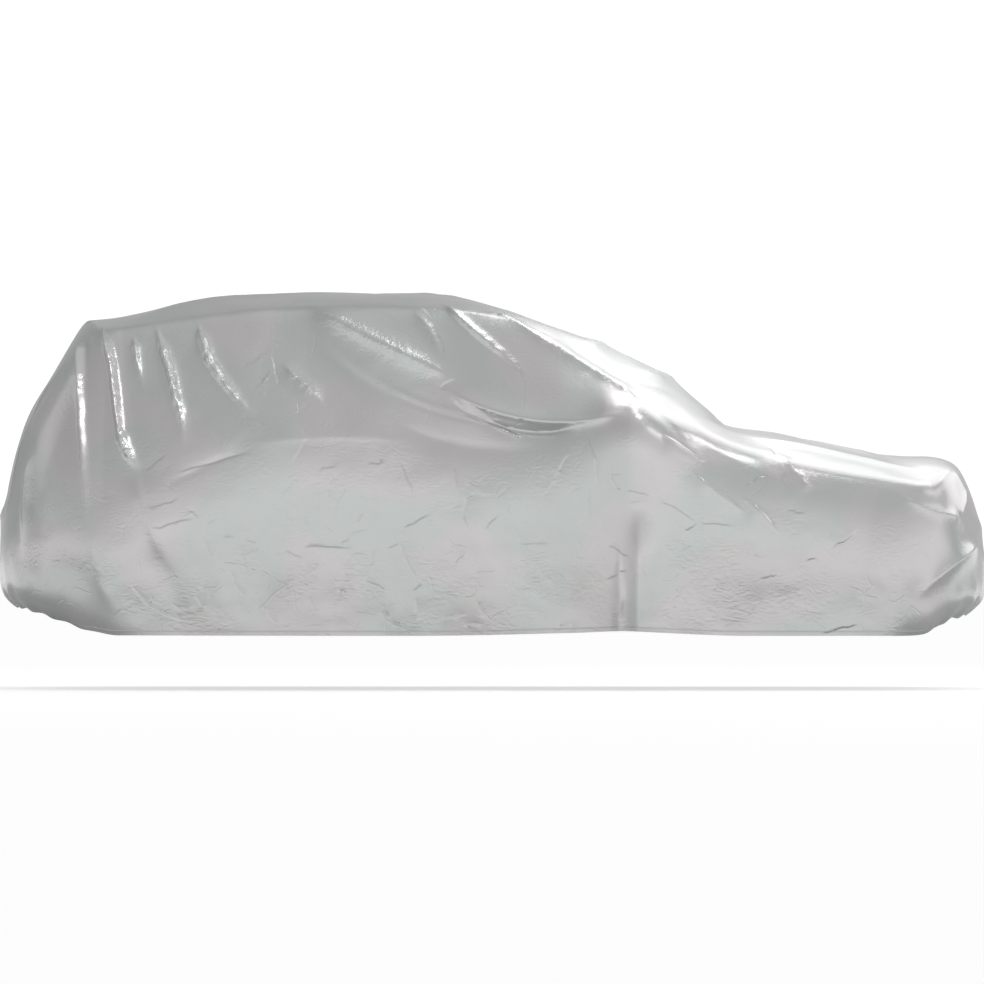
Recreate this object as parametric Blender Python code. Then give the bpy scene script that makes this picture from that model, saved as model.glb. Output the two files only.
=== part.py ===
"""A fitted cover of thin silver film cloth, in the shape that it takes over a tall five-door body.

The cover is one sheet with its hem. Its base form is lofted through level lines that run round the body,
from the middle line of the top down to the hem. Folds are then pressed into it along short paths, the
elastic in the hem gathers both ends, and the sheet gets its thickness last.

Metres, +X to the front, +Z up. The origin is under the roof, where the body carries the cloth.
"""

import math

import bmesh
import bpy
import numpy as np

# Driving sizes. In all that follows, x runs forward from the rear end and z up from the side hem.
LENGTH = 4.185
ROOF_X = 1.41
ROOF_RISE = 1.452
SHEET = 0.003
MIDDLE_X = LENGTH / 2

# The cloth's grid before it is thinned out to the faces that its shape needs, and the faces that are kept.
HALF_COLUMNS = 216
ROWS = 88
REAR_SHARE = 0.26
FRONT_SHARE = 0.18
SKIN_FACES = 5800
CURVE_STEPS = 24
OVAL_STEPS = 400

# Middle line of the top, from the rear edge of the roof to the front edge of the bonnet.
MIDDLE_LINE = {
    "columns": ("x", "z"),
    "rows": (
        (0.345, 1.330),
        (0.445, 1.334),
        (0.613, 1.371),
        (0.781, 1.413),
        (1.033, 1.443),
        (ROOF_X, ROOF_RISE),
        (1.789, 1.445),
        (1.957, 1.427),
        (2.125, 1.388),
        (2.293, 1.329),
        (2.461, 1.264),
        (2.684, 1.172),
        (2.880, 1.056),
        (3.010, 0.960),
        (3.133, 0.884),
        (3.301, 0.855),
        (3.469, 0.821),
        (3.637, 0.783),
        (3.805, 0.754),
        (3.960, 0.752),
        (4.040, 0.738),
        (4.085, 0.700),
    ),
}

# Sections across the body. edge is the roof edge, screen pillar or bonnet edge, belt the line where the
# upright side begins, hip the widest line. Every y is a half width.
SECTIONS = {
    "columns": ("x", "edge_y", "edge_z", "belt_y", "belt_z", "hip_y", "hip_z", "hem_y"),
    "rows": (
        (0.45, 0.53, 1.285, 0.790, 0.52, 0.845, 0.34, 0.830),
        (0.65, 0.56, 1.310, 0.835, 0.60, 0.870, 0.36, 0.855),
        (0.93, 0.58, 1.350, 0.865, 0.74, 0.888, 0.42, 0.878),
        (1.16, 0.59, 1.372, 0.875, 0.83, 0.893, 0.45, 0.885),
        (1.60, 0.60, 1.372, 0.880, 0.81, 0.895, 0.45, 0.888),
        (1.95, 0.60, 1.347, 0.880, 0.76, 0.895, 0.45, 0.888),
        (2.25, 0.61, 1.277, 0.880, 0.76, 0.895, 0.45, 0.888),
        (2.46, 0.65, 1.145, 0.880, 0.80, 0.895, 0.45, 0.888),
        (2.68, 0.71, 0.980, 0.880, 0.83, 0.895, 0.45, 0.888),
        (2.97, 0.76, 0.838, 0.875, 0.70, 0.893, 0.42, 0.886),
        (3.20, 0.77, 0.762, 0.870, 0.60, 0.890, 0.38, 0.883),
        (3.45, 0.76, 0.706, 0.860, 0.57, 0.885, 0.36, 0.878),
        (3.75, 0.73, 0.652, 0.835, 0.50, 0.865, 0.32, 0.855),
        (3.95, 0.69, 0.630, 0.790, 0.47, 0.830, 0.30, 0.820),
    ),
}

# The hem, which rises round both ends and lifts a little under the mirrors.
HEM_LINE = {
    "columns": ("x", "z"),
    "rows": (
        (0.000, 0.120),
        (0.060, 0.106),
        (0.193, 0.072),
        (0.361, 0.026),
        (0.520, 0.002),
        (1.750, 0.000),
        (2.450, 0.013),
        (2.640, 0.020),
        (2.850, 0.011),
        (3.150, 0.000),
        (3.860, 0.000),
        (3.973, 0.020),
        (4.057, 0.058),
        (LENGTH, 0.090),
    ),
}
HEM_TURN = 0.05
LOW_LINE_TURNS = 3
ELASTIC_TUCK = 0.08

# Level lines round the body: how far back and forward each reaches, how high it is there, how long its
# corners are and how square.
LEVELS = {
    "columns": ("name", "rear_x", "rear_z", "rear_corner", "front_x", "front_z", "front_corner", "square"),
    "rows": (
        ("edge", 0.362, 1.300, 0.16, 4.078, 0.700, 0.36, 3.0),
        ("belt", 0.120, 0.930, 0.50, 4.140, 0.560, 0.44, 2.9),
        ("hip", 0.020, 0.560, 0.66, 4.172, 0.380, 0.52, 2.8),
        ("hem", 0.000, 0.330, 0.78, LENGTH, 0.220, 0.56, 2.8),
    ),
}
MIDDLE_END = {"half_width": 0.05, "rear_x": 0.62, "front_x": 3.72, "square": 2.0}
CROWN_POWER = 2.3
TOP_SPLITS = (0.0, 0.35, 0.68, 0.90)
END_UPRIGHT_POWER = 3

# Folds, as a maker would chalk them on an elevation. near, far: x and z. rear, front: y and z. top: x and
# y. height is how far the fold stands out, or in if it is below zero. left and right are its half widths,
# seen from outside by someone who walks from its start to its end. rise and fall are the shares of its
# run in which it comes up and dies away.
FOLD_COLUMNS = ("name", "face", "start", "middle", "end", "height", "left", "right", "rise", "fall")
FOLD_ROWS = (
    ("rear corner pleat", "near", (0.382, 1.24), (0.353, 0.74), (0.50, 0.04), 0.034, 0.050, 0.026, 0.2, 0.3),
    ("pillar pleat", "near", (0.458, 1.31), (0.525, 0.94), (0.596, 0.62), 0.046, 0.060, 0.028, 0.2, 0.3),
    ("pillar pleat foot", "near", (0.56, 0.72), (0.60, 0.42), (0.76, 0.06), 0.020, 0.060, 0.060, 0.5, 0.4),
    ("pillar valley", "near", (0.600, 0.66), (0.640, 0.38), (0.85, 0.11), -0.022, 0.040, 0.032, 0.3, 0.5),
    ("short pleat", "near", (0.592, 1.25), (0.613, 1.11), (0.63, 0.94), 0.024, 0.036, 0.022, 0.3, 0.5),
    ("window pleat", "near", (0.697, 1.31), (0.756, 1.05), (0.83, 0.76), 0.038, 0.055, 0.028, 0.2, 0.4),
    ("second window pleat", "near", (0.874, 1.31), (0.962, 1.08), (1.15, 0.87), 0.032, 0.060, 0.032, 0.2, 0.6),
    ("quarter crease", "near", (0.690, 0.61), (0.920, 0.73), (1.13, 0.79), -0.012, 0.020, 0.030, 0.3, 0.5),
    ("swag", "near", (1.320, 1.38), (1.831, 1.005), (2.66, 0.905), 0.050, 0.065, 0.036, 0.3, 0.1),
    ("swag valley", "near", (1.400, 1.20), (1.820, 0.930), (2.60, 0.872), -0.030, 0.040, 0.040, 0.4, 0.2),
    ("lower swag", "near", (1.500, 1.08), (1.900, 0.840), (2.60, 0.865), 0.036, 0.045, 0.040, 0.4, 0.3),
    ("belt valley", "near", (1.560, 0.98), (1.950, 0.735), (2.50, 0.825), -0.024, 0.045, 0.060, 0.4, 0.5),
    ("roof crumple", "near", (1.810, 1.36), (1.873, 1.235), (1.91, 1.13), 0.018, 0.035, 0.026, 0.3, 0.5),
    ("window swag", "near", (1.903, 1.42), (2.071, 1.222), (2.33, 1.06), 0.034, 0.055, 0.035, 0.2, 0.5),
    ("pillar edge", "near", (2.125, 1.39), (2.440, 1.19), (2.67, 0.96), 0.020, 0.035, 0.040, 0.2, 0.1),
    ("mirror fall", "near", (2.680, 0.90), (2.680, 0.47), (2.69, 0.02), 0.045, 0.130, 0.130, 0.0, 0.0),
    ("mirror pleat", "near", (2.692, 0.54), (2.692, 0.28), (2.692, 0.0), -0.024, 0.022, 0.022, 0.4, 0.0),
    ("door pleat", "near", (2.621, 0.36), (2.621, 0.17), (2.625, 0.0), -0.012, 0.018, 0.018, 0.5, 0.0),
    ("wing line", "near", (2.776, 0.84), (2.881, 0.78), (2.99, 0.727), 0.012, 0.022, 0.018, 0.3, 0.3),
    ("wing pleat", "near", (2.932, 0.70), (3.112, 0.585), (3.30, 0.43), 0.018, 0.035, 0.024, 0.3, 0.4),
    ("wing tongue", "near", (3.120, 0.83), (3.270, 0.725), (3.42, 0.59), 0.026, 0.050, 0.040, 0.3, 0.3),
    ("lamp lower edge", "near", (3.784, 0.615), (3.91, 0.535), (4.06, 0.505), 0.016, 0.030, 0.026, 0.4, 0.1),
    ("lamp front edge", "near", (4.060, 0.50), (4.095, 0.62), (4.01, 0.76), 0.015, 0.028, 0.026, 0.1, 0.3),
    ("bumper crease", "near", (4.158, 0.39), (4.015, 0.29), (3.87, 0.14), 0.020, 0.040, 0.024, 0.2, 0.5),
    ("tailgate corner", "near", (0.143, 0.80), (0.122, 0.55), (0.118, 0.31), 0.014, 0.028, 0.022, 0.3, 0.4),
    ("rear corner pleat", "far", (0.39, 1.24), (0.37, 0.78), (0.48, 0.04), 0.024, 0.026, 0.050, 0.2, 0.3),
    ("pillar pleat", "far", (0.48, 1.31), (0.56, 0.96), (0.68, 0.40), 0.034, 0.028, 0.060, 0.2, 0.4),
    ("pillar valley", "far", (0.62, 0.72), (0.68, 0.42), (0.92, 0.12), -0.018, 0.034, 0.045, 0.3, 0.5),
    ("window pleat", "far", (0.66, 1.31), (0.72, 1.10), (0.84, 0.80), 0.028, 0.026, 0.055, 0.2, 0.5),
    ("second window pleat", "far", (0.86, 1.33), (0.93, 1.12), (1.05, 0.92), 0.020, 0.030, 0.055, 0.2, 0.6),
    ("swag", "far", (1.24, 1.39), (1.75, 1.02), (2.66, 0.905), 0.046, 0.036, 0.065, 0.3, 0.1),
    ("swag valley", "far", (1.32, 1.21), (1.75, 0.94), (2.60, 0.870), -0.028, 0.040, 0.040, 0.4, 0.2),
    ("lower swag", "far", (1.40, 1.08), (1.83, 0.85), (2.60, 0.860), 0.032, 0.040, 0.045, 0.4, 0.3),
    ("window swag", "far", (1.86, 1.42), (2.04, 1.23), (2.35, 1.05), 0.032, 0.035, 0.055, 0.2, 0.5),
    ("pillar edge", "far", (2.12, 1.39), (2.43, 1.19), (2.67, 0.96), 0.018, 0.040, 0.035, 0.2, 0.1),
    ("mirror fall", "far", (2.68, 0.90), (2.68, 0.47), (2.67, 0.02), 0.045, 0.130, 0.130, 0.0, 0.0),
    ("mirror pleat", "far", (2.66, 0.50), (2.655, 0.26), (2.65, 0.0), -0.020, 0.024, 0.024, 0.4, 0.0),
    ("wing pleat", "far", (2.84, 0.76), (3.06, 0.62), (3.26, 0.44), 0.018, 0.024, 0.035, 0.3, 0.4),
    ("wing tongue", "far", (3.16, 0.81), (3.33, 0.71), (3.50, 0.57), 0.024, 0.040, 0.050, 0.3, 0.3),
    ("lamp lower edge", "far", (3.76, 0.62), (3.90, 0.54), (4.06, 0.51), 0.018, 0.026, 0.030, 0.4, 0.1),
    ("bumper crease", "far", (4.16, 0.37), (4.02, 0.27), (3.90, 0.13), 0.018, 0.024, 0.040, 0.2, 0.5),
    ("roof pull", "top", (0.50, -0.42), (1.00, -0.20), (1.62, -0.12), 0.010, 0.050, 0.050, 0.3, 0.5),
    ("roof pull", "top", (0.50, 0.40), (0.90, 0.26), (1.40, 0.22), 0.010, 0.050, 0.050, 0.3, 0.5),
    ("roof pull", "top", (1.30, 0.40), (1.70, 0.15), (2.12, -0.25), 0.009, 0.045, 0.045, 0.4, 0.4),
    ("screen sag", "top", (2.42, -0.50), (2.55, 0.00), (2.42, 0.52), 0.018, 0.060, 0.040, 0.3, 0.3),
    ("screen sag", "top", (2.66, -0.56), (2.84, 0.00), (2.68, 0.56), 0.022, 0.060, 0.040, 0.3, 0.3),
    ("screen foot", "top", (2.94, -0.62), (3.08, -0.10), (2.98, 0.60), -0.016, 0.060, 0.050, 0.3, 0.3),
    ("bonnet pull", "top", (3.10, -0.50), (3.50, -0.46), (3.93, -0.50), 0.014, 0.050, 0.035, 0.4, 0.3),
    ("bonnet pull", "top", (3.12, 0.46), (3.50, 0.42), (3.93, 0.48), 0.014, 0.035, 0.050, 0.4, 0.3),
    ("bonnet pull", "top", (3.20, -0.10), (3.55, -0.16), (3.90, -0.05), 0.008, 0.050, 0.050, 0.4, 0.4),
    ("tailgate fold", "rear", (-0.30, 1.22), (-0.36, 0.86), (-0.34, 0.30), 0.016, 0.040, 0.030, 0.3, 0.4),
    ("tailgate fold", "rear", (0.32, 1.20), (0.40, 0.84), (0.42, 0.30), 0.018, 0.030, 0.040, 0.3, 0.4),
    ("tailgate fold", "rear", (0.02, 1.16), (-0.04, 0.80), (0.02, 0.46), 0.010, 0.040, 0.040, 0.4, 0.5),
    ("tailgate sill", "rear", (-0.55, 0.62), (0.00, 0.50), (0.55, 0.60), 0.016, 0.050, 0.030, 0.4, 0.4),
    ("grille sag", "front", (-0.56, 0.56), (0.00, 0.44), (0.56, 0.56), 0.012, 0.050, 0.060, 0.3, 0.3),
    ("grille sag", "front", (-0.50, 0.40), (0.06, 0.30), (0.52, 0.42), 0.010, 0.050, 0.060, 0.4, 0.4),
)
FOLD_STEPS = 28
CREST_SOFTNESS = 0.5
TINY = 1e-9

# Places where something under the cloth stands out: the door mirrors and the front corners of the bonnet.
PEAKS = {
    "columns": ("name", "face", "place", "height", "half_width"),
    "rows": (
        ("mirror", "near", (2.68, 0.905), 0.105, 0.115),
        ("mirror", "far", (2.68, 0.905), 0.105, 0.115),
        ("bonnet corner", "near", (3.985, 0.690), 0.026, 0.080),
        ("bonnet corner", "far", (3.985, 0.690), 0.022, 0.080),
    ),
}

# The elastic's gathers: waves round the ends, which grow towards the hem. They are bunched in some places
# and slack in others, and die away where the side hem begins.
GATHER = {
    "pitch": 0.17,
    "depth": 0.014,
    "reach": 0.28,
    "growth": 1.5,
    "bunches": 5,
    "bunching": 1.1,
    "slack_spells": 11,
    "slackness": 0.3,
    "full_until": 0.15,
    "gone_after": 0.60,
}

# The elevations: the two axes that each one shows, and the way that its face of the cloth looks.
FACES = {
    "near": {"axes": [0, 2], "toward": (0, -1, 0)},
    "far": {"axes": [0, 2], "toward": (0, 1, 0)},
    "rear": {"axes": [1, 2], "toward": (-1, 0, 0)},
    "front": {"axes": [1, 2], "toward": (1, 0, 0)},
    "top": {"axes": [0, 1], "toward": (0, 0, 1)},
}
FACE_LEAN = 0.15
CHALK_NEIGHBOURS = 12
CHALK_BLUR = 0.02

FILM_GREY = (0.50, 0.51, 0.51, 1)
FILM_ROUGHNESS = 0.34
FILM_METALLIC = 0.55
RIM_ANGLE = math.radians(50)


def column(table, name):
    """One named column of a table, as an array."""
    place = table["columns"].index(name)
    return np.array([row[place] for row in table["rows"]])


def smooth_through(x, xs, ys):
    """A smooth curve through points that never swings past them."""
    step = np.diff(xs)
    slope = np.diff(ys) / step
    same_way = slope[:-1] * slope[1:] > 0
    total = np.where(same_way, slope[:-1] + slope[1:], 1)
    inner = np.where(same_way, 2 * slope[:-1] * slope[1:] / total, 0)
    tangent = np.concatenate([[slope[0]], inner, [slope[-1]]])
    x = np.clip(x, xs[0], xs[-1])
    k = np.clip(np.searchsorted(xs, x) - 1, 0, len(xs) - 2)
    t = (x - xs[k]) / step[k]
    rise = ys[k] * (2 * t**3 - 3 * t**2 + 1) + ys[k + 1] * (3 * t**2 - 2 * t**3)
    bend = tangent[k] * (t**3 - 2 * t**2 + t) + tangent[k + 1] * (t**3 - t**2)
    return rise + bend * step[k]


def ease(t):
    """A soft step from 0 to 1."""
    t = np.clip(t, 0, 1)
    return t * t * (3 - 2 * t)


def line(table, x):
    """Height of a line that is given by x and z."""
    return smooth_through(x, column(table, "x"), column(table, "z"))


def section(x, name):
    """A named size of the section at x."""
    return smooth_through(x, column(SECTIONS, "x"), column(SECTIONS, name))


def top_height(x, y):
    """Height of the roof, screen or bonnet, which is crowned from side to side."""
    middle = line(MIDDLE_LINE, x)
    edge = np.minimum(section(x, "edge_z"), middle)
    across = np.clip(np.abs(y) / section(x, "edge_y"), 0, 1)
    return middle - (middle - edge) * across**CROWN_POWER


def even_turns(square, count):
    """Angles that space points evenly round a quarter of a square-shouldered oval."""
    turn = np.linspace(0, math.pi / 2, OVAL_STEPS)
    run = np.stack([1 - np.cos(turn) ** (2 / square), np.sin(turn) ** (2 / square)])
    length = np.concatenate([[0], np.cumsum(np.linalg.norm(np.diff(run), axis=0))])
    return np.interp(np.linspace(0, length[-1], count), length, turn)


def half_loop(rear_x, rear_corner, front_x, front_corner, square, half_width):
    """Plan points of a line round one side, from the rear middle to the front middle, and how far each
    has turned from the end to the side, from 0 to 1."""
    rear_count = round(HALF_COLUMNS * REAR_SHARE)
    front_count = round(HALF_COLUMNS * FRONT_SHARE)
    side_count = HALF_COLUMNS + 1 - rear_count - front_count
    rear_turn = even_turns(square, rear_count + 1)[:-1]
    front_turn = even_turns(square, front_count + 1)[:-1][::-1]
    rear_end = rear_x + rear_corner
    front_end = front_x - front_corner
    side_x = np.linspace(rear_end, front_end, side_count)
    power = 2 / square
    rear_bow = rear_corner * (1 - np.cos(rear_turn) ** power)
    front_bow = front_corner * (1 - np.cos(front_turn) ** power)
    x = np.concatenate([rear_x + rear_bow, side_x, front_x - front_bow])
    rear_y = half_width(rear_end) * np.sin(rear_turn) ** power
    front_y = half_width(front_end) * np.sin(front_turn) ** power
    y = np.concatenate([rear_y, half_width(side_x), front_y])
    turn = np.concatenate([rear_turn, np.full(side_count, math.pi / 2), front_turn])
    return x, y, np.sin(turn) ** 2


def level_line(name, y_name, z_name=None):
    """The half loop of a level as points, and the share of the side's height that each one has."""
    row = next(row for row in LEVELS["rows"] if row[0] == name)
    _, rear_x, rear_z, rear_corner, front_x, front_z, front_corner, square = row

    def half_width(at):
        return section(at, y_name)

    x, y, share = half_loop(rear_x, rear_corner, front_x, front_corner, square, half_width)
    end_z = np.where(x < MIDDLE_X, rear_z, front_z)
    side_z = section(x, z_name) if z_name else end_z
    return np.stack([x, y, end_z + (side_z - end_z) * share], axis=1), share


def top_lines(edge):
    """Lines between the middle of the top and its edge."""
    ends = MIDDLE_END
    width = ends["half_width"]

    def half_width(at):
        return np.full(np.shape(at), width)

    x, y, _ = half_loop(ends["rear_x"], width, ends["front_x"], width, ends["square"], half_width)
    out = []
    for outward in TOP_SPLITS:
        to_x = x + (edge[:, 0] - x) * outward
        to_y = y + (edge[:, 1] - y) * outward
        out.append(np.stack([to_x, to_y, top_height(to_x, to_y)], axis=1))
    return out


def hem_lines():
    """The low line, the turn above the hem and the hem, which the elastic draws in at the ends."""
    low, share = level_line("hem", "hem_y")
    upright = share**END_UPRIGHT_POWER
    hem_z = line(HEM_LINE, low[:, 0])
    turn = low.copy()
    low[:, 2] += (hem_z + LOW_LINE_TURNS * HEM_TURN - low[:, 2]) * upright
    turn[:, 2] = hem_z + HEM_TURN
    hem = turn.copy()
    hem[:, 2] = hem_z
    inward = np.stack([np.sign(MIDDLE_X - hem[:, 0]), -hem[:, 1] / hem[:, 1].max()], axis=1)
    inward /= np.linalg.norm(inward, axis=1)[:, None]
    hem[:, :2] += inward * (ELASTIC_TUCK * (1 - upright))[:, None]
    return [low, turn, hem]


def guide_lines():
    """Every line round one side, from the middle of the top to the hem, as columns of guide points."""
    edge, _ = level_line("edge", "edge_y", "edge_z")
    edge[:, 2] = top_height(edge[:, 0], edge[:, 1])
    belt, _ = level_line("belt", "belt_y", "belt_z")
    hip, _ = level_line("hip", "hip_y", "hip_z")
    return np.stack([*top_lines(edge), edge, (edge + belt) / 2, belt, hip, *hem_lines()], axis=1)


def drape(guides):
    """Evenly spaced rows down each column, on a smooth curve that its guide points pull."""
    first = 2 * guides[:, :1] - guides[:, 1:2]
    last = 2 * guides[:, -1:] - guides[:, -2:-1]
    pulls = np.concatenate([first, guides, last], axis=1)
    spans = guides.shape[1] - 1
    fine = np.linspace(0, spans, spans * CURVE_STEPS + 1)
    k = np.minimum(fine.astype(int), spans - 1)
    t = (fine - k)[None, :, None]
    curve = pulls[:, k] * (1 - t) ** 3
    curve += pulls[:, k + 1] * (3 * t**3 - 6 * t**2 + 4)
    curve += pulls[:, k + 2] * (-3 * t**3 + 3 * t**2 + 3 * t + 1)
    curve += pulls[:, k + 3] * t**3
    curve /= 6
    steps = np.linalg.norm(np.diff(curve, axis=1), axis=2)
    rows = np.empty((len(curve), ROWS, 3))
    for place, (step, points) in enumerate(zip(steps, curve)):
        run = np.concatenate([[0], np.cumsum(step)])
        wanted = np.linspace(0, run[-1], ROWS)
        rows[place] = np.stack([np.interp(wanted, run, points[:, axis]) for axis in range(3)], axis=1)
    return rows


def outward_of(ring):
    """Unit vectors that point out of the cloth, for a closed ring of columns."""
    along = np.roll(ring, -1, axis=0) - np.roll(ring, 1, axis=0)
    down = np.gradient(ring, axis=1)
    out = np.cross(down, along)
    return out / np.maximum(np.linalg.norm(out, axis=2), TINY)[..., None]


def chalk(points, outward, face, marks):
    """Marks on an elevation, carried straight on to that face of the cloth as places in space."""
    axes = FACES[face]["axes"]
    toward = np.array(FACES[face]["toward"])
    there = points[outward @ toward > FACE_LEAN]
    deep = int(np.argmax(np.abs(toward)))
    places = np.zeros((len(marks), 3))
    places[:, axes] = marks
    for place in places:
        gap = np.sum((there[:, axes] - place[axes]) ** 2, axis=1)
        nearest = np.argpartition(gap, CHALK_NEIGHBOURS)[:CHALK_NEIGHBOURS]
        weight = 1 / (gap[nearest] + CHALK_BLUR**2)
        place[deep] = weight @ there[nearest, deep] / weight.sum()
    return places


def crest(distance, half_width):
    """The share of a fold's or peak's height that is left at a distance from its crest."""
    soft = CREST_SOFTNESS * half_width
    return np.exp(-(np.hypot(distance, soft) - soft) / half_width)


def fold_path(points, outward, fold):
    """The run of a fold's crest, a curve through its three marks, as places on the cloth."""
    t = np.linspace(0, 1, FOLD_STEPS + 1)[:, None]
    start, middle, end = (np.array(fold[mark]) for mark in ("start", "middle", "end"))
    pull = 2 * middle - (start + end) / 2
    marks = start * (1 - t) ** 2 + pull * 2 * t * (1 - t) + end * t**2
    return chalk(points, outward, fold["face"], marks)


def fold_shift(points, outward, fold):
    """How far a fold lifts each point of the cloth."""
    path = fold_path(points, outward, fold)
    best = np.full(len(points), np.inf)
    shift = np.zeros(len(points))
    for step, (a, b) in enumerate(zip(path[:-1], path[1:])):
        run = b - a
        size = max(run @ run, TINY)
        along = np.clip((points - a) @ run / size, 0, 1)
        away = points - (a + along[:, None] * run)
        distance = np.linalg.norm(away, axis=1)
        to_right = np.einsum("ij,ij->i", np.cross(run, outward), away) > 0
        width = np.where(to_right, fold["right"], fold["left"])
        share = (step + along) / FOLD_STEPS
        taper = ease(share / max(fold["rise"], TINY)) * ease((1 - share) / max(fold["fall"], TINY))
        closer = distance < best
        best = np.where(closer, distance, best)
        shift = np.where(closer, fold["height"] * taper * crest(distance, width), shift)
    return shift


def peak_shift(points, outward, face, place, height, half_width):
    """How far a peak under the cloth lifts each point of it."""
    top = chalk(points, outward, face, [place])[0]
    return height * crest(np.linalg.norm(points - top, axis=1), half_width)


def gather_shift(ring):
    """How far the elastic's gathers lift each point of a ring of columns."""
    hem = ring[:, -1]
    pace = np.linalg.norm(np.roll(hem, -1, axis=0) - hem, axis=1)
    run = np.cumsum(pace)
    waves = round(run[-1] / GATHER["pitch"])
    turn = run / run[-1] * 2 * math.pi
    phase = waves * turn + GATHER["bunching"] * np.sin(GATHER["bunches"] * turn)
    slack = GATHER["slackness"] * (1 - np.sin(GATHER["slack_spells"] * turn + 1))
    from_end = np.minimum(hem[:, 0], LENGTH - hem[:, 0])
    at_end = ease((GATHER["gone_after"] - from_end) / (GATHER["gone_after"] - GATHER["full_until"]))
    above = np.linalg.norm(ring - hem[:, None], axis=2)
    grown = np.clip(1 - above / GATHER["reach"], 0, 1) ** GATHER["growth"]
    return GATHER["depth"] * (np.sin(phase) * (1 - slack) * at_end)[:, None] * grown


def shaped_ring():
    """The whole cloth as a closed ring of columns, each from the middle of the top to the hem."""
    half = drape(guide_lines())
    ring = np.concatenate([half * (1, -1, 1), half[-2:0:-1]])
    outward = outward_of(ring)
    points = ring.reshape(-1, 3)
    out = outward.reshape(-1, 3)
    shift = gather_shift(ring).reshape(-1)
    for row in FOLD_ROWS:
        shift += fold_shift(points, out, dict(zip(FOLD_COLUMNS, row)))
    for _, face, place, height, half_width in PEAKS["rows"]:
        shift += peak_shift(points, out, face, place, height, half_width)
    return (points + out * shift[:, None]).reshape(ring.shape)


def sheet_faces(columns):
    """Quads down and round the ring, and a strip that joins both sides along the middle of the top."""
    faces = []
    for i in range(columns):
        here = i * ROWS
        after = (i + 1) % columns * ROWS
        faces += [(here + j, here + j + 1, after + j + 1, after + j) for j in range(ROWS - 1)]
    for i in range(columns // 2):
        across = (columns - i) % columns
        loop = (i * ROWS, (i + 1) * ROWS, (columns - i - 1) * ROWS, across * ROWS)
        faces.append(tuple(dict.fromkeys(loop)))
    return faces


def silver_film():
    """Thin cloth with an aluminium-grey film face."""
    material = bpy.data.materials.new("silver_film")
    material.use_nodes = True
    shader = material.node_tree.nodes["Principled BSDF"]
    shader.inputs["Base Color"].default_value = FILM_GREY
    shader.inputs["Roughness"].default_value = FILM_ROUGHNESS
    shader.inputs["Metallic"].default_value = FILM_METALLIC
    return material


def add_sheet():
    """The shaped sheet, one face thick and shaded smooth."""
    ring = shaped_ring()
    points = ring.reshape(-1, 3) - (ROOF_X, 0, ROOF_RISE)
    mesh = bpy.data.meshes.new("cover")
    mesh.from_pydata(points.tolist(), [], sheet_faces(len(ring)))
    mesh.validate()
    shape = bmesh.new()
    shape.from_mesh(mesh)
    bmesh.ops.triangulate(shape, faces=shape.faces)
    bmesh.ops.recalc_face_normals(shape, faces=shape.faces)
    shape.to_mesh(mesh)
    shape.free()
    mesh.shade_smooth()
    mesh.materials.append(silver_film())
    cover = bpy.data.objects.new("cover", mesh)
    bpy.context.collection.objects.link(cover)
    return cover


def add_cover():
    """The cover: the sheet, thinned to the faces that its folds need, with its thickness and a crisp hem."""
    cover = add_sheet()
    thin = cover.modifiers.new("faces kept", "DECIMATE")
    thin.ratio = SKIN_FACES / len(cover.data.polygons)
    wall = cover.modifiers.new("sheet", "SOLIDIFY")
    wall.thickness = SHEET
    wall.offset = -1
    wall.use_even_offset = True
    finished = cover.evaluated_get(bpy.context.evaluated_depsgraph_get())
    flat = cover.data
    cover.data = bpy.data.meshes.new_from_object(finished)
    cover.modifiers.clear()
    bpy.data.meshes.remove(flat)
    cover.data.name = "cover"
    cover.data.set_sharp_from_angle(angle=RIM_ANGLE)


def main():
    for thing in list(bpy.data.objects):
        bpy.data.objects.remove(thing)
    add_cover()


main()
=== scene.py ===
# %% [markdown]
# # A fitted cover of silver film cloth, draped
#
# The object is one thing: a cover that is sewn from thin cloth with a silver film on its face, drawn over a
# long form and held under both ends by elastic in its hem. It is dressed here in three steps. First the cloth
# gets the shape that it hangs in, then its folds and creases, then its film finish. The stage and the lights
# come last. Sizes are in metres where nothing else is said.

import math

import bpy
import numpy as np
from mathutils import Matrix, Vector, noise


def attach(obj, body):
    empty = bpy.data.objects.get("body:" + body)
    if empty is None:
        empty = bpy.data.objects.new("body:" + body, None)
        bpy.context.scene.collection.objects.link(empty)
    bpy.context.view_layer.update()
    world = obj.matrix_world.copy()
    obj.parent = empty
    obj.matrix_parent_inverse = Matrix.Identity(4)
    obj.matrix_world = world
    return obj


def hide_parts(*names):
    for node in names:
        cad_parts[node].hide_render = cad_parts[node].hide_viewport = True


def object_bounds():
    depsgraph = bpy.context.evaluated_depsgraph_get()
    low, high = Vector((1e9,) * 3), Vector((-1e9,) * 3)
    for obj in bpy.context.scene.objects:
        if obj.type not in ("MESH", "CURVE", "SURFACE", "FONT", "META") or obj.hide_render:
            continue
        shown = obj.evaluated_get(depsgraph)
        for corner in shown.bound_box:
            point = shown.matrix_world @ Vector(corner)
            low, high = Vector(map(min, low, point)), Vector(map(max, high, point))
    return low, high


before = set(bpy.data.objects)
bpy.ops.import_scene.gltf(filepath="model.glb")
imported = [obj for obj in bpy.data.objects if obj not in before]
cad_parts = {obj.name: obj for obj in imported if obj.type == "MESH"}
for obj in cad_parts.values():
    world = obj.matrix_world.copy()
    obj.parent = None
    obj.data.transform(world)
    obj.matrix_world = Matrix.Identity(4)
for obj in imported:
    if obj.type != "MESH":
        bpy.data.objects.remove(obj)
cad_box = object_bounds()
print("model's box", [tuple(round(v, 3) for v in corner) for corner in cad_box])

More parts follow.
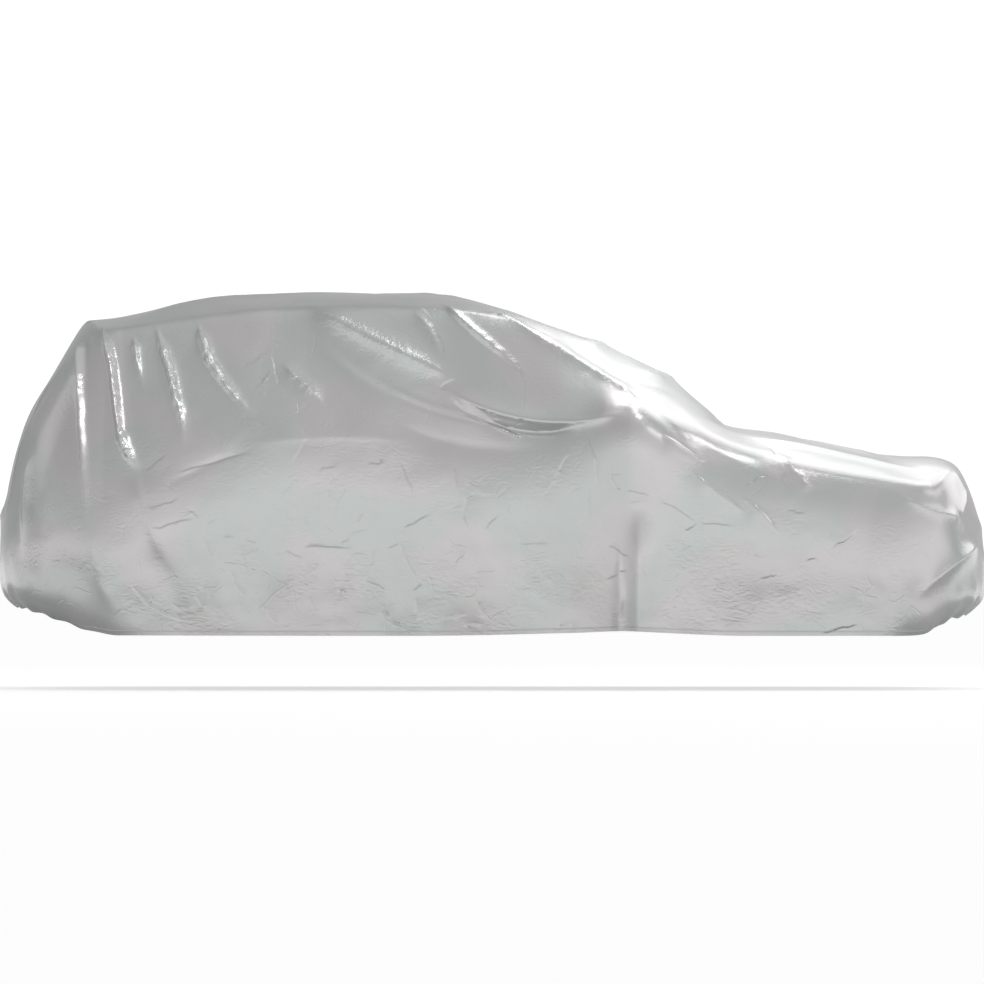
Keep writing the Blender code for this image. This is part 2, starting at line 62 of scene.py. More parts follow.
# %% [markdown]
# ## The lines that the cloth follows
#
# A maker of covers works from a handful of measured lines: the middle line over the top, the upper edge, the
# belt, the widest line and the hem. The same lines are stated here, with x running forward from the rear end
# and z up from the side hem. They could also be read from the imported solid, but its faces are far too coarse
# for glossy film, so the sheet is lofted anew.

# %% Measured lines of the cover
LENGTH = 4.185
ROOF_X = 1.41
ROOF_RISE = 1.452
MIDDLE_X = LENGTH / 2
TINY = 1e-9

MIDDLE_LINE = {
    "columns": ("x", "z"),
    "rows": (
        (0.345, 1.330), (0.445, 1.334), (0.613, 1.371), (0.781, 1.413), (1.033, 1.443), (ROOF_X, ROOF_RISE),
        (1.789, 1.445), (1.957, 1.427), (2.125, 1.388), (2.293, 1.329), (2.461, 1.264), (2.684, 1.172),
        (2.880, 1.056), (3.010, 0.960), (3.133, 0.884), (3.301, 0.855), (3.469, 0.821), (3.637, 0.783),
        (3.805, 0.754), (3.960, 0.764), (4.040, 0.738), (4.085, 0.700),
    ),
}

SECTIONS = {
    "columns": ("x", "edge_y", "edge_z", "belt_y", "belt_z", "hip_y", "hip_z", "hem_y"),
    "rows": (
        (0.45, 0.53, 1.285, 0.795, 0.58, 0.845, 0.34, 0.830),
        (0.65, 0.56, 1.310, 0.840, 0.69, 0.870, 0.38, 0.855),
        (0.93, 0.58, 1.350, 0.868, 0.79, 0.888, 0.43, 0.878),
        (1.16, 0.59, 1.372, 0.875, 0.83, 0.893, 0.45, 0.885),
        (1.60, 0.60, 1.380, 0.880, 0.81, 0.895, 0.45, 0.888),
        (1.95, 0.60, 1.368, 0.880, 0.76, 0.895, 0.45, 0.888),
        (2.25, 0.61, 1.288, 0.880, 0.76, 0.895, 0.45, 0.888),
        (2.46, 0.65, 1.145, 0.880, 0.80, 0.895, 0.45, 0.888),
        (2.68, 0.71, 0.980, 0.880, 0.83, 0.895, 0.45, 0.888),
        (2.97, 0.76, 0.838, 0.875, 0.70, 0.893, 0.42, 0.886),
        (3.20, 0.77, 0.762, 0.870, 0.60, 0.890, 0.38, 0.883),
        (3.45, 0.79, 0.706, 0.860, 0.57, 0.885, 0.36, 0.878),
        (3.75, 0.76, 0.655, 0.835, 0.50, 0.865, 0.32, 0.855),
        (3.95, 0.69, 0.630, 0.790, 0.47, 0.830, 0.30, 0.820),
    ),
}

HEM_LINE = {
    "columns": ("x", "z"),
    "rows": (
        (0.000, 0.120), (0.060, 0.106), (0.193, 0.072), (0.361, 0.026), (0.520, 0.002), (1.750, 0.000),
        (2.450, 0.013), (2.640, 0.020), (2.850, 0.011), (3.150, 0.000), (3.860, 0.000), (3.973, 0.020),
        (4.057, 0.058), (LENGTH, 0.090),
    ),
}
# the cloth turns in over this height above the hem, and the low line lies three turns up
HEM_TURN = 0.05
LOW_LINE_TURNS = 3
# how far the elastic draws the hem in at the ends
ELASTIC_TUCK = 0.08

LEVELS = {
    "columns": ("name", "rear_x", "rear_z", "rear_corner", "front_x", "front_z", "front_corner", "square"),
    "rows": (
        ("edge", 0.362, 1.300, 0.16, 4.078, 0.700, 0.36, 3.0),
        ("belt", 0.120, 0.930, 0.50, 4.140, 0.560, 0.44, 2.9),
        ("hip", 0.020, 0.560, 0.66, 4.172, 0.380, 0.52, 2.8),
        ("hem", 0.000, 0.330, 0.78, LENGTH, 0.220, 0.56, 2.8),
    ),
}
# the narrow loop that closes the top, and the shares of the way out from it at which lines are laid
MIDDLE_END = {"half_width": 0.05, "rear_x": 0.62, "front_x": 3.72, "square": 2.0}
TOP_SPLITS = (0.0, 0.35, 0.68, 0.90)
CROWN_POWER = 2.3
END_UPRIGHT_POWER = 3
print(f"{LENGTH} m long, {ROOF_RISE} m from hem to roof, {len(SECTIONS['rows'])} sections")

# %% [markdown]
# ## From measured lines to points
#
# Between its measured places a pulled cloth runs in smooth curves that never swing past them. The levels turn
# round both ends as square-shouldered ovals, as cloth does over a rounded corner.

# %% Reading the tables
def column(table, name):
    """One named column of a table, as an array."""
    place = table["columns"].index(name)
    return np.array([row[place] for row in table["rows"]])


def smooth_through(x, xs, ys):
    """A smooth curve through points that never swings past them."""
    step = np.diff(xs)
    slope = np.diff(ys) / step
    same_way = slope[:-1] * slope[1:] > 0
    total = np.where(same_way, slope[:-1] + slope[1:], 1)
    inner = np.where(same_way, 2 * slope[:-1] * slope[1:] / total, 0)
    tangent = np.concatenate([[slope[0]], inner, [slope[-1]]])
    x = np.clip(x, xs[0], xs[-1])
    k = np.clip(np.searchsorted(xs, x) - 1, 0, len(xs) - 2)
    t = (x - xs[k]) / step[k]
    rise = ys[k] * (2 * t**3 - 3 * t**2 + 1) + ys[k + 1] * (3 * t**2 - 2 * t**3)
    bend = tangent[k] * (t**3 - 2 * t**2 + t) + tangent[k + 1] * (t**3 - t**2)
    return rise + bend * step[k]


def ease(t):
    """A soft step from 0 to 1."""
    t = np.clip(t, 0, 1)
    return t * t * (3 - 2 * t)


def line(table, x):
    """Height of a line that is given by x and z."""
    return smooth_through(x, column(table, "x"), column(table, "z"))


def section(x, name):
    """A named size of the section at x."""
    return smooth_through(x, column(SECTIONS, "x"), column(SECTIONS, name))


def top_height(x, y):
    """Height of the roof, screen or bonnet, which is crowned from side to side."""
    middle = line(MIDDLE_LINE, x)
    edge = np.minimum(section(x, "edge_z"), middle)
    across = np.clip(np.abs(y) / section(x, "edge_y"), 0, 1)
    return middle - (middle - edge) * across**CROWN_POWER

# %% [markdown]
# ## The sheet's grid
#
# Cloth wants an even grid, so that a highlight runs over it without a ripple. Columns run from the middle of
# the top down to the hem, all the way round, and rows follow the level lines. The grid is worked out four
# times finer than its cells. The fine points are used only where a crease needs them, which leaves the whole
# sheet under two hundred thousand triangles.

# %% Columns all the way round
FINE = 4
HALF_CELLS = 360
ROW_CELLS = 130
HALF_COLUMNS = HALF_CELLS * FINE
ROWS = ROW_CELLS * FINE + 1
# shares of the columns that go round the rear and the front corner
REAR_SHARE = 0.26
FRONT_SHARE = 0.18
CURVE_STEPS = 24
OVAL_STEPS = 400


def even_turns(square, count):
    """Angles that space points evenly round a quarter of a square-shouldered oval."""
    turn = np.linspace(0, math.pi / 2, OVAL_STEPS)
    run = np.stack([1 - np.cos(turn) ** (2 / square), np.sin(turn) ** (2 / square)])
    length = np.concatenate([[0], np.cumsum(np.linalg.norm(np.diff(run), axis=0))])
    return np.interp(np.linspace(0, length[-1], count), length, turn)


def half_loop(rear_x, rear_corner, front_x, front_corner, square, half_width):
    """Plan points of a line round one side, from the rear middle to the front middle, and how far each
    has turned from the end to the side, from 0 to 1."""
    rear_count = round(HALF_COLUMNS * REAR_SHARE)
    front_count = round(HALF_COLUMNS * FRONT_SHARE)
    side_count = HALF_COLUMNS + 1 - rear_count - front_count
    rear_turn = even_turns(square, rear_count + 1)[:-1]
    front_turn = even_turns(square, front_count + 1)[:-1][::-1]
    rear_end = rear_x + rear_corner
    front_end = front_x - front_corner
    side_x = np.linspace(rear_end, front_end, side_count)
    power = 2 / square
    rear_bow = rear_corner * (1 - np.cos(rear_turn) ** power)
    front_bow = front_corner * (1 - np.cos(front_turn) ** power)
    x = np.concatenate([rear_x + rear_bow, side_x, front_x - front_bow])
    rear_y = half_width(rear_end) * np.sin(rear_turn) ** power
    front_y = half_width(front_end) * np.sin(front_turn) ** power
    y = np.concatenate([rear_y, half_width(side_x), front_y])
    turn = np.concatenate([rear_turn, np.full(side_count, math.pi / 2), front_turn])
    return x, y, np.sin(turn) ** 2


def level_line(name, y_name, z_name=None):
    """The half loop of a level as points, and the share of the side's height that each one has."""
    row = next(row for row in LEVELS["rows"] if row[0] == name)
    _, rear_x, rear_z, rear_corner, front_x, front_z, front_corner, square = row

    def half_width(at):
        return section(at, y_name)

    x, y, share = half_loop(rear_x, rear_corner, front_x, front_corner, square, half_width)
    end_z = np.where(x < MIDDLE_X, rear_z, front_z)
    side_z = section(x, z_name) if z_name else end_z
    return np.stack([x, y, end_z + (side_z - end_z) * share], axis=1), share


def top_lines(edge):
    """Lines between the middle of the top and its edge."""
    ends = MIDDLE_END
    width = ends["half_width"]

    def half_width(at):
        return np.full(np.shape(at), width)

    x, y, _ = half_loop(ends["rear_x"], width, ends["front_x"], width, ends["square"], half_width)
    out = []
    for outward in TOP_SPLITS:
        to_x = x + (edge[:, 0] - x) * outward
        to_y = y + (edge[:, 1] - y) * outward
        out.append(np.stack([to_x, to_y, top_height(to_x, to_y)], axis=1))
    return out


def hem_lines():
    """The low line, the turn above the hem and the hem, which the elastic draws in at the ends."""
    low, share = level_line("hem", "hem_y")
    upright = share**END_UPRIGHT_POWER
    hem_z = line(HEM_LINE, low[:, 0])
    turn = low.copy()
    low[:, 2] += (hem_z + LOW_LINE_TURNS * HEM_TURN - low[:, 2]) * upright
    turn[:, 2] = hem_z + HEM_TURN
    hem = turn.copy()
    hem[:, 2] = hem_z
    inward = np.stack([np.sign(MIDDLE_X - hem[:, 0]), -hem[:, 1] / hem[:, 1].max()], axis=1)
    inward /= np.linalg.norm(inward, axis=1)[:, None]
    hem[:, :2] += inward * (ELASTIC_TUCK * (1 - upright))[:, None]
    return [low, turn, hem]


def guide_lines():
    """Every line round one side, from the middle of the top to the hem, as columns of guide points."""
    edge, _ = level_line("edge", "edge_y", "edge_z")
    edge[:, 2] = top_height(edge[:, 0], edge[:, 1])
    belt, _ = level_line("belt", "belt_y", "belt_z")
    hip, _ = level_line("hip", "hip_y", "hip_z")
    return np.stack([*top_lines(edge), edge, (edge + belt) / 2, belt, hip, *hem_lines()], axis=1)

# %% Rows down each column
def drape(guides):
    """Evenly spaced rows down each column, on the smooth curve (a cubic B-spline) that its guides pull."""
    first = 2 * guides[:, :1] - guides[:, 1:2]
    last = 2 * guides[:, -1:] - guides[:, -2:-1]
    pulls = np.concatenate([first, guides, last], axis=1)
    spans = guides.shape[1] - 1
    fine = np.linspace(0, spans, spans * CURVE_STEPS + 1)
    k = np.minimum(fine.astype(int), spans - 1)
    t = (fine - k)[None, :, None]
    curve = pulls[:, k] * (1 - t) ** 3
    curve += pulls[:, k + 1] * (3 * t**3 - 6 * t**2 + 4)
    curve += pulls[:, k + 2] * (-3 * t**3 + 3 * t**2 + 3 * t + 1)
    curve += pulls[:, k + 3] * t**3
    curve /= 6
    steps = np.linalg.norm(np.diff(curve, axis=1), axis=2)
    rows = np.empty((len(curve), ROWS, 3))
    for place, (step, points) in enumerate(zip(steps, curve)):
        run = np.concatenate([[0], np.cumsum(step)])
        wanted = np.linspace(0, run[-1], ROWS)
        rows[place] = np.stack([np.interp(wanted, run, points[:, axis]) for axis in range(3)], axis=1)
    return rows


def outward_of(ring):
    """Unit vectors that point out of the cloth, for a closed ring of columns."""
    along = np.roll(ring, -1, axis=0) - np.roll(ring, 1, axis=0)
    down = np.gradient(ring, axis=1)
    out = np.cross(down, along)
    return out / np.maximum(np.linalg.norm(out, axis=2), TINY)[..., None]


half = drape(guide_lines())
ring = np.concatenate([half * (1, -1, 1), half[-2:0:-1]])
ring_out = outward_of(ring)
print("fine grid", ring.shape[0], "columns by", ring.shape[1], "rows")

# %% [markdown]
# ## Folds, creases and how they are chalked on
#
# Every fold is a row of a table: where its crest starts, passes and ends on an elevation of the cover, how
# far it stands out, how wide its left and right flanks are, all in millimetres, and over what share of its
# length it rises and falls. A cloth simulation could find folds of its own, but not these ones, so they are
# placed one by one, as soft ridges and troughs. Tight folds have straighter flanks than slack ones. Their crests
# wander a little and are crumpled, each by a share of its own.

# %% The main folds
FOLD_COLUMNS = ("name", "face", "start", "middle", "end", "height", "left", "right", "rise", "fall")
IN_MILLIMETRES = ("start", "middle", "end", "height", "left", "right")
FOLD_ROWS = (
    ("rear corner pleat", "near", (366, 1250), (360, 850), (400, 340), 40, 24, 12, 0.08, 1.1),
    ("rear corner foot", "near", (395, 520), (440, 250), (530, 60), 9, 60, 40, 0.4, 0.4),
    ("pillar pleat", "near", (442, 1325), (500, 1030), (515, 800), 24, 26, 14, 0.2, 0.3),
    ("pillar knee", "near", (512, 920), (538, 800), (610, 690), 22, 30, 16, 0.45, 0.5),
    ("pillar foot", "near", (585, 700), (648, 470), (780, 220), 19, 90, 40, 0.3, 0.5),
    ("short pleat", "near", (576, 1260), (594, 1160), (625, 1000), 14, 18, 10, 0.3, 0.6),
    ("window pleat", "near", (668, 1320), (742, 1060), (806, 780), 24, 26, 14, 0.3, 0.5),
    ("second window pleat", "near", (852, 1320), (925, 1110), (1120, 900), 22, 25, 14, 0.2, 0.6),
    ("window lump", "near", (1200, 1150), (1295, 1060), (1390, 974), 12, 26, 26, 0.3, 0.5),
    ("quarter crease", "near", (690, 610), (920, 730), (1130, 790), -5, 20, 30, 0.3, 0.5),
    ("belt edge", "near", (1050, 800), (1400, 835), (1820, 815), 6, 100, 24, 0.3, 0.3),
    ("swag", "near", (1290, 1405), (1630, 1215), (2020, 1050), 40, 48, 45, 0.25, 0.4),
    ("swag roll", "near", (1860, 1080), (2180, 915), (2660, 890), 22, 60, 16, 0.4, 0.1),
    ("under the roll", "near", (1880, 1015), (2160, 878), (2460, 872), -20, 16, 22, 0.4, 0.2),
    ("swag valley", "near", (1380, 1220), (1760, 1010), (2100, 915), -18, 45, 45, 0.4, 0.4),
    ("lower swag", "near", (1306, 1319), (1705, 991), (2350, 858), 13, 40, 36, 0.4, 0.3),
    ("belt valley", "near", (1560, 980), (1980, 800), (2500, 825), -16, 50, 70, 0.4, 0.5),
    ("roof crumple", "near", (1740, 1385), (1840, 1265), (1885, 1140), 10, 24, 20, 0.3, 0.5),
    ("window swag", "near", (1868, 1405), (2020, 1275), (2270, 1075), 18, 26, 14, 0.25, 0.5),
    ("pillar edge", "near", (2030, 1395), (2356, 1207), (2700, 955), 16, 36, 20, 0.2, 0.1),
    ("wing edge", "near", (2760, 915), (3112, 735), (3440, 602), 11, 160, 60, 0.3, 0.3),
    ("mirror fall", "near", (2680, 900), (2680, 470), (2690, -60), 30, 150, 150, 0.0, 0.0),
    ("mirror pleat", "near", (2706, 560), (2706, 280), (2706, -60), 50, 60, 30, 0.45, 0.0),
    ("door pleat", "near", (2628, 400), (2626, 170), (2626, -60), 16, 20, 26, 0.5, 0.0),
    ("wing line", "near", (2776, 832), (2880, 775), (2999, 714), 10, 9, 35, 0.4, 0.4),
    ("wing line", "near", (2927, 697), (3033, 607), (3167, 508), 8, 9, 40, 0.4, 0.4),
    ("wing line", "near", (3137, 592), (3243, 496), (3297, 412), 8, 11, 35, 0.4, 0.5),
    ("wing tongue", "near", (3300, 770), (3365, 690), (3440, 605), 6, 26, 30, 0.3, 0.2),
    ("lamp lower edge", "near", (3784, 615), (3910, 535), (4060, 505), 10, 16, 18, 0.4, 0.1),
    ("lamp front edge", "near", (4060, 500), (4092, 600), (4040, 700), 7, 14, 16, 0.1, 0.5),
    ("bumper crease", "near", (4158, 390), (4015, 290), (3870, 140), 20, 40, 24, 0.2, 0.5),
    ("tailgate corner", "near", (143, 800), (122, 550), (118, 310), 14, 28, 22, 0.3, 0.4),
    ("rear corner pleat", "far", (390, 1240), (370, 780), (480, 40), 24, 26, 50, 0.2, 0.3),
    ("pillar pleat", "far", (480, 1310), (560, 960), (680, 400), 34, 28, 60, 0.2, 0.4),
    ("pillar valley", "far", (620, 720), (680, 420), (920, 120), -18, 34, 45, 0.3, 0.5),
    ("window pleat", "far", (660, 1310), (720, 1100), (840, 800), 28, 26, 55, 0.2, 0.5),
    ("second window pleat", "far", (860, 1330), (930, 1120), (1050, 920), 20, 30, 55, 0.2, 0.6),
    ("swag", "far", (1240, 1390), (1750, 1020), (2660, 905), 46, 36, 65, 0.3, 0.1),
    ("swag valley", "far", (1320, 1210), (1750, 940), (2600, 870), -28, 40, 40, 0.4, 0.2),
    ("lower swag", "far", (1400, 1080), (1830, 850), (2600, 860), 32, 40, 45, 0.4, 0.3),
    ("window swag", "far", (1860, 1420), (2040, 1230), (2350, 1050), 32, 35, 55, 0.2, 0.5),
    ("pillar edge", "far", (2120, 1390), (2430, 1190), (2670, 960), 18, 40, 35, 0.2, 0.1),
    ("mirror fall", "far", (2680, 900), (2680, 470), (2670, -60), 45, 130, 130, 0.0, 0.0),
    ("mirror pleat", "far", (2660, 500), (2655, 260), (2650, -60), -20, 24, 24, 0.4, 0.0),
    ("wing pleat", "far", (2840, 760), (3060, 620), (3260, 440), 18, 24, 35, 0.3, 0.4),
    ("wing tongue", "far", (3160, 810), (3330, 710), (3500, 570), 24, 40, 50, 0.3, 0.3),
    ("lamp lower edge", "far", (3760, 620), (3900, 540), (4060, 510), 18, 26, 30, 0.4, 0.1),
    ("bumper crease", "far", (4160, 370), (4020, 270), (3900, 130), 18, 24, 40, 0.2, 0.5),
    ("roof pull", "top", (500, -420), (1000, -200), (1620, -120), 10, 50, 50, 0.3, 0.5),
    ("roof pull", "top", (500, 400), (900, 260), (1400, 220), 10, 50, 50, 0.3, 0.5),
    ("roof pull", "top", (1300, 400), (1700, 150), (2120, -250), 9, 45, 45, 0.4, 0.4),
    ("screen sag", "top", (2420, -500), (2550, 0), (2420, 520), 18, 60, 40, 0.3, 0.3),
    ("screen sag", "top", (2660, -560), (2840, 0), (2680, 560), 22, 60, 40, 0.3, 0.3),
    ("screen foot", "top", (2940, -620), (3080, -100), (2980, 600), -16, 60, 50, 0.3, 0.3),
    ("bonnet pull", "top", (3100, -500), (3500, -460), (3930, -500), 14, 50, 35, 0.4, 0.3),
    ("bonnet pull", "top", (3120, 460), (3500, 420), (3930, 480), 14, 35, 50, 0.4, 0.3),
    ("bonnet pull", "top", (3200, -100), (3550, -160), (3900, -50), 8, 50, 50, 0.4, 0.4),
    ("tailgate fold", "rear", (-300, 1220), (-360, 860), (-340, 300), 16, 40, 30, 0.3, 0.4),
    ("tailgate fold", "rear", (320, 1200), (400, 840), (420, 300), 18, 30, 40, 0.3, 0.4),
    ("tailgate fold", "rear", (20, 1160), (-40, 800), (20, 460), 10, 40, 40, 0.4, 0.5),
    ("tailgate sill", "rear", (-550, 620), (0, 500), (550, 600), 16, 50, 30, 0.4, 0.4),
    ("grille sag", "front", (-560, 560), (0, 440), (560, 560), 12, 50, 60, 0.3, 0.3),
    ("grille sag", "front", (-500, 400), (60, 300), (520, 420), 10, 50, 60, 0.4, 0.4),
)
folds = [dict(zip(FOLD_COLUMNS, row)) for row in FOLD_ROWS]
for fold in folds:
    fold.update({name: np.array(fold[name]) / 1000 for name in IN_MILLIMETRES})
print(len(folds), "folds and troughs")

# %% How the folds are pressed
FOLD_STEPS = 28
# a flank reaches this many of its widths
FOLD_REACH = 5.5
# how round a crest and the foot of a straight flank are, as a share of the flank's width
CREST_SOFTNESS = 0.2
FOOT_SOFTNESS = 0.25
PEAK_SOFTNESS = 0.9
# a straight flank is a plane by this share, and curved by the rest
STRAIGHTNESS = 0.65
# a straight fold starts at this share of its width
THIN_END = 0.3
STRAIGHT_FLANKS = {
    "rear corner pleat", "pillar pleat", "pillar knee", "short pleat", "window pleat", "second window pleat",
    "window swag", "wing edge", "door pleat", "wing line",
}
# how far crests wander and over what distance, and by what share and over what distance they pucker
UNEVEN = {"wander": 0.006, "wander_pitch": 0.11, "share": 0.30, "pitch": 0.030}
CRUMPLE = {"wavelength": 0.034, "height": 0.0045}
CRUMPLED = {
    "rear corner pleat": 0.25, "pillar pleat": 0.45, "pillar knee": 0.9, "short pleat": 0.6,
    "window pleat": 0.8, "second window pleat": 1.0, "window lump": 1.0, "window swag": 1.0, "swag": 1.0,
    "roof crumple": 1.0, "pillar edge": 0.8, "wing tongue": 0.4, "lamp lower edge": 0.6,
}

PEAKS = {
    "columns": ("name", "face", "place", "height", "half_width"),
    "rows": (
        ("mirror", "near", (2.68, 0.870), 0.055, 0.135),
        ("mirror", "far", (2.68, 0.905), 0.105, 0.115),
    ),
}

# slack between the folds, in three sizes, each calm where the cloth is taut
RIPPLES = {
    "columns": ("wavelength", "height", "calm_under"),
    "rows": (
        (0.30, 0.0060, -1.0),
        (0.13, 0.0030, -0.15),
        (0.055, 0.0012, 0.0),
    ),
}
CALM_SPAN = 0.5
CALM_SIZE = 0.3
# where in the noise each size is read
RIPPLE_APART = (0, 0, 7.3)
CALM_START = (5.1, 0, 0)
CALM_APART = (0, 0, 3.7)

# the gathers that the elastic makes in the hem at both ends
GATHER = {
    "pitch": 0.17,
    "depth": 0.010,
    "reach": 0.28,
    "growth": 1.5,
    "bunches": 5,
    "bunching": 1.1,
    "slack_spells": 11,
    "slack_start": 1,
    "slackness": 0.3,
    "full_until": 0.15,
    "gone_after": 0.60,
}

# %% [markdown]
# Thin film cloth also keeps sharp little creases from the bag it was packed in. They are short, angular and
# dull along their line, where the film is worn and painted darker for the shade in the groove, and they catch
# the light on one flank. Eight numbers below are one crease, in millimetres: x and z of its start, middle and
# end on the near side, its depth and its half width.

# %% The sharp creases of the near side
CREASE_ROWS = (
    (625, 687, 675, 725, 723, 767, 6, 8), (752, 687, 900, 725, 1106, 781, 7, 9),
    (750, 680, 742, 645, 730, 608, 3, 8), (629, 532, 708, 553, 781, 586, 4, 7),
    (651, 441, 740, 470, 860, 503, 5, 7), (810, 535, 835, 520, 860, 503, 5, 8),
    (882, 405, 905, 355, 926, 329, 5, 8), (947, 420, 990, 417, 1009, 405, 5, 8),
    (998, 347, 1077, 351, 1114, 369, 3, 8), (994, 282, 1020, 217, 1077, 152, 6, 8),
    (1085, 94, 1180, 180, 1284, 242, 8, 8), (1284, 242, 1330, 275, 1374, 304, 3, 7),
    (1294, 380, 1381, 378, 1526, 369, 8, 7), (1450, 391, 1475, 402, 1497, 416, 4, 6),
    (1215, 362, 1260, 345, 1309, 322, 4, 7), (1548, 239, 1606, 217, 1663, 181, 8, 8),
    (1425, 213, 1480, 210, 1526, 206, 4, 6), (1439, 195, 1465, 186, 1486, 177, 7, 6),
    (1439, 257, 1540, 257, 1584, 242, 3, 8), (1627, 101, 1645, 85, 1663, 76, 7, 6),
    (1598, 369, 1592, 325, 1591, 282, 4, 9), (1642, 369, 1675, 378, 1705, 391, 4, 7),
    (1570, 720, 1610, 727, 1649, 732, 6, 6), (1356, 705, 1400, 709, 1447, 710, 3, 7),
    (1326, 833, 1290, 790, 1250, 714, 5, 8), (1548, 521, 1537, 495, 1526, 470, 4, 7),
    (571, 224, 660, 130, 795, 58, 8, 10), (737, 137, 800, 115, 846, 137, 5, 8),
    (861, 202, 905, 205, 966, 224, 6, 7), (889, 166, 930, 190, 969, 217, 5, 7),
    (839, 166, 870, 137, 897, 108, 5, 8), (1121, 130, 1160, 90, 1207, 43, 6, 7),
    (1316, 159, 1340, 125, 1359, 94, 4, 8), (1941, 748, 1938, 680, 1952, 613, 6, 8),
    (2001, 685, 1998, 655, 1997, 630, 4, 8), (2123, 587, 1980, 560, 2022, 399, 8, 8),
    (2137, 525, 2090, 475, 2060, 441, 6, 8), (2161, 559, 2162, 535, 2157, 511, 4, 7),
    (2338, 657, 2335, 615, 2297, 580, 6, 8), (2429, 761, 2385, 720, 2380, 671, 7, 9),
    (2450, 915, 2530, 720, 2527, 615, 9, 8), (2509, 622, 2495, 560, 2516, 473, 6, 7),
    (2583, 727, 2610, 640, 2642, 608, 7, 7), (2642, 608, 2700, 605, 2775, 577, 6, 7),
    (2775, 577, 2870, 535, 2956, 479, 4, 7), (2956, 479, 2930, 455, 2893, 441, 5, 7),
    (2956, 479, 3030, 472, 3123, 462, 4, 7), (2572, 389, 2620, 362, 2677, 333, 9, 6),
    (2666, 281, 2620, 262, 2562, 225, 5, 8), (1698, 420, 1735, 320, 1796, 222, 8, 8),
    (1796, 222, 1785, 205, 1778, 190, 5, 7), (1769, 169, 1776, 110, 1781, 58, 8, 7),
    (1712, 452, 1765, 475, 1851, 525, 6, 8), (1698, 741, 1735, 670, 1761, 580, 4, 10),
    (1921, 301, 1955, 325, 1984, 357, 5, 7), (1998, 260, 2060, 268, 2123, 277, 3, 8),
    (2179, 389, 2270, 391, 2353, 389, 4, 7), (1621, 92, 1700, 45, 1840, 6, 9, 8),
    (2032, 148, 2040, 110, 2067, 51, 4, 8), (1865, 65, 1930, 80, 1998, 93, 4, 7),
    (1976, 37, 2010, 50, 2046, 44, 6, 7), (2377, 58, 2380, 35, 2384, 16, 5, 7),
    (2415, 51, 2435, 33, 2457, 20, 5, 7), (2419, 163, 2450, 180, 2492, 194, 5, 7),
    (3147, 625, 3195, 655, 3263, 674, 9, 7), (3315, 688, 3318, 650, 3322, 611, 7, 6),
    (3332, 538, 3370, 525, 3416, 511, 4, 8), (3263, 796, 3283, 760, 3318, 733, 7, 8),
    (1855, 1290, 1885, 1230, 1890, 1150, -8, 10), (1900, 1029, 2040, 915, 2255, 819, -12, 12),
    (2167, 1201, 2225, 1060, 2209, 907, 4, 9), (3637, 455, 3575, 400, 3507, 361, 7, 7),
    (3457, 330, 3433, 322, 3409, 315, 4, 6), (3297, 253, 3255, 245, 3214, 236, 3, 7),
    (3637, 47, 3555, 30, 3472, 9, 7, 7), (1969, 984, 2120, 890, 2255, 817, 12, 10),
    (1158, 1202, 1180, 1120, 1193, 1035, 5, 9), (1033, 1126, 1090, 1160, 1159, 1203, 5, 8),
    (1096, 1042, 1130, 1080, 1159, 1119, 6, 7), (1033, 924, 1085, 905, 1138, 882, 6, 8),
    (1965, 1084, 1880, 1050, 1911, 1029, 8, 8), (1606, 1369, 1650, 1345, 1702, 1315, 4, 8),
    (1716, 1391, 1800, 1370, 1855, 1321, 5, 9),
)
# a crease is drawn in so many steps that waver by so much, and fades over this share of it at each end
CREASE_STEPS = 7
CREASE_WAVER = 0.0028
WAVER_SEED = 7
CREASE_END = 0.3
# shares of a row's depth: the groove itself, and the lift of one flank with the fall of the other
GROOVE_SHARE = 0.15
FLANK_SHARE = 0.20
FLANK_REACH = 0.028
FLANK_SPAN = 3 * FLANK_REACH
# share of a row's half width that the groove has
CREASE_WIDTH = 0.44
creases = np.array(CREASE_ROWS) / 1000
print(len(creases), "creases")

# %% Chalk marks on the cloth
FACES = {
    "near": {"axes": [0, 2], "toward": (0, -1, 0)},
    "far": {"axes": [0, 2], "toward": (0, 1, 0)},
    "rear": {"axes": [1, 2], "toward": (-1, 0, 0)},
    "front": {"axes": [1, 2], "toward": (1, 0, 0)},
    "top": {"axes": [0, 1], "toward": (0, 0, 1)},
}
# a mark takes its depth from the nearest points that face this way, weighted by how near they are
FACE_LEAN = 0.15
CHALK_NEIGHBOURS = 12
CHALK_BLUR = 0.02
coarse_points = ring[::FINE, ::FINE].reshape(-1, 3)
coarse_out = ring_out[::FINE, ::FINE].reshape(-1, 3)


def chalk(face, marks):
    """Marks on an elevation, carried straight on to that face of the cloth as places in space."""
    axes = FACES[face]["axes"]
    toward = np.array(FACES[face]["toward"])
    there = coarse_points[coarse_out @ toward > FACE_LEAN]
    deep = int(np.argmax(np.abs(toward)))
    places = np.zeros((len(marks), 3))
    places[:, axes] = marks
    for place in places:
        gap = np.sum((there[:, axes] - place[axes]) ** 2, axis=1)
        nearest = np.argpartition(gap, CHALK_NEIGHBOURS)[:CHALK_NEIGHBOURS]
        weight = 1 / (gap[nearest] + CHALK_BLUR**2)
        place[deep] = weight @ there[nearest, deep] / weight.sum()
    return places


def curve_through(start, middle, end, steps):
    """Points of a simple curve that starts, passes and ends at three marks."""
    t = np.linspace(0, 1, steps + 1)[:, None]
    start, middle, end = (np.array(mark) for mark in (start, middle, end))
    pull = 2 * middle - (start + end) / 2
    return start * (1 - t) ** 2 + pull * 2 * t * (1 - t) + end * t**2


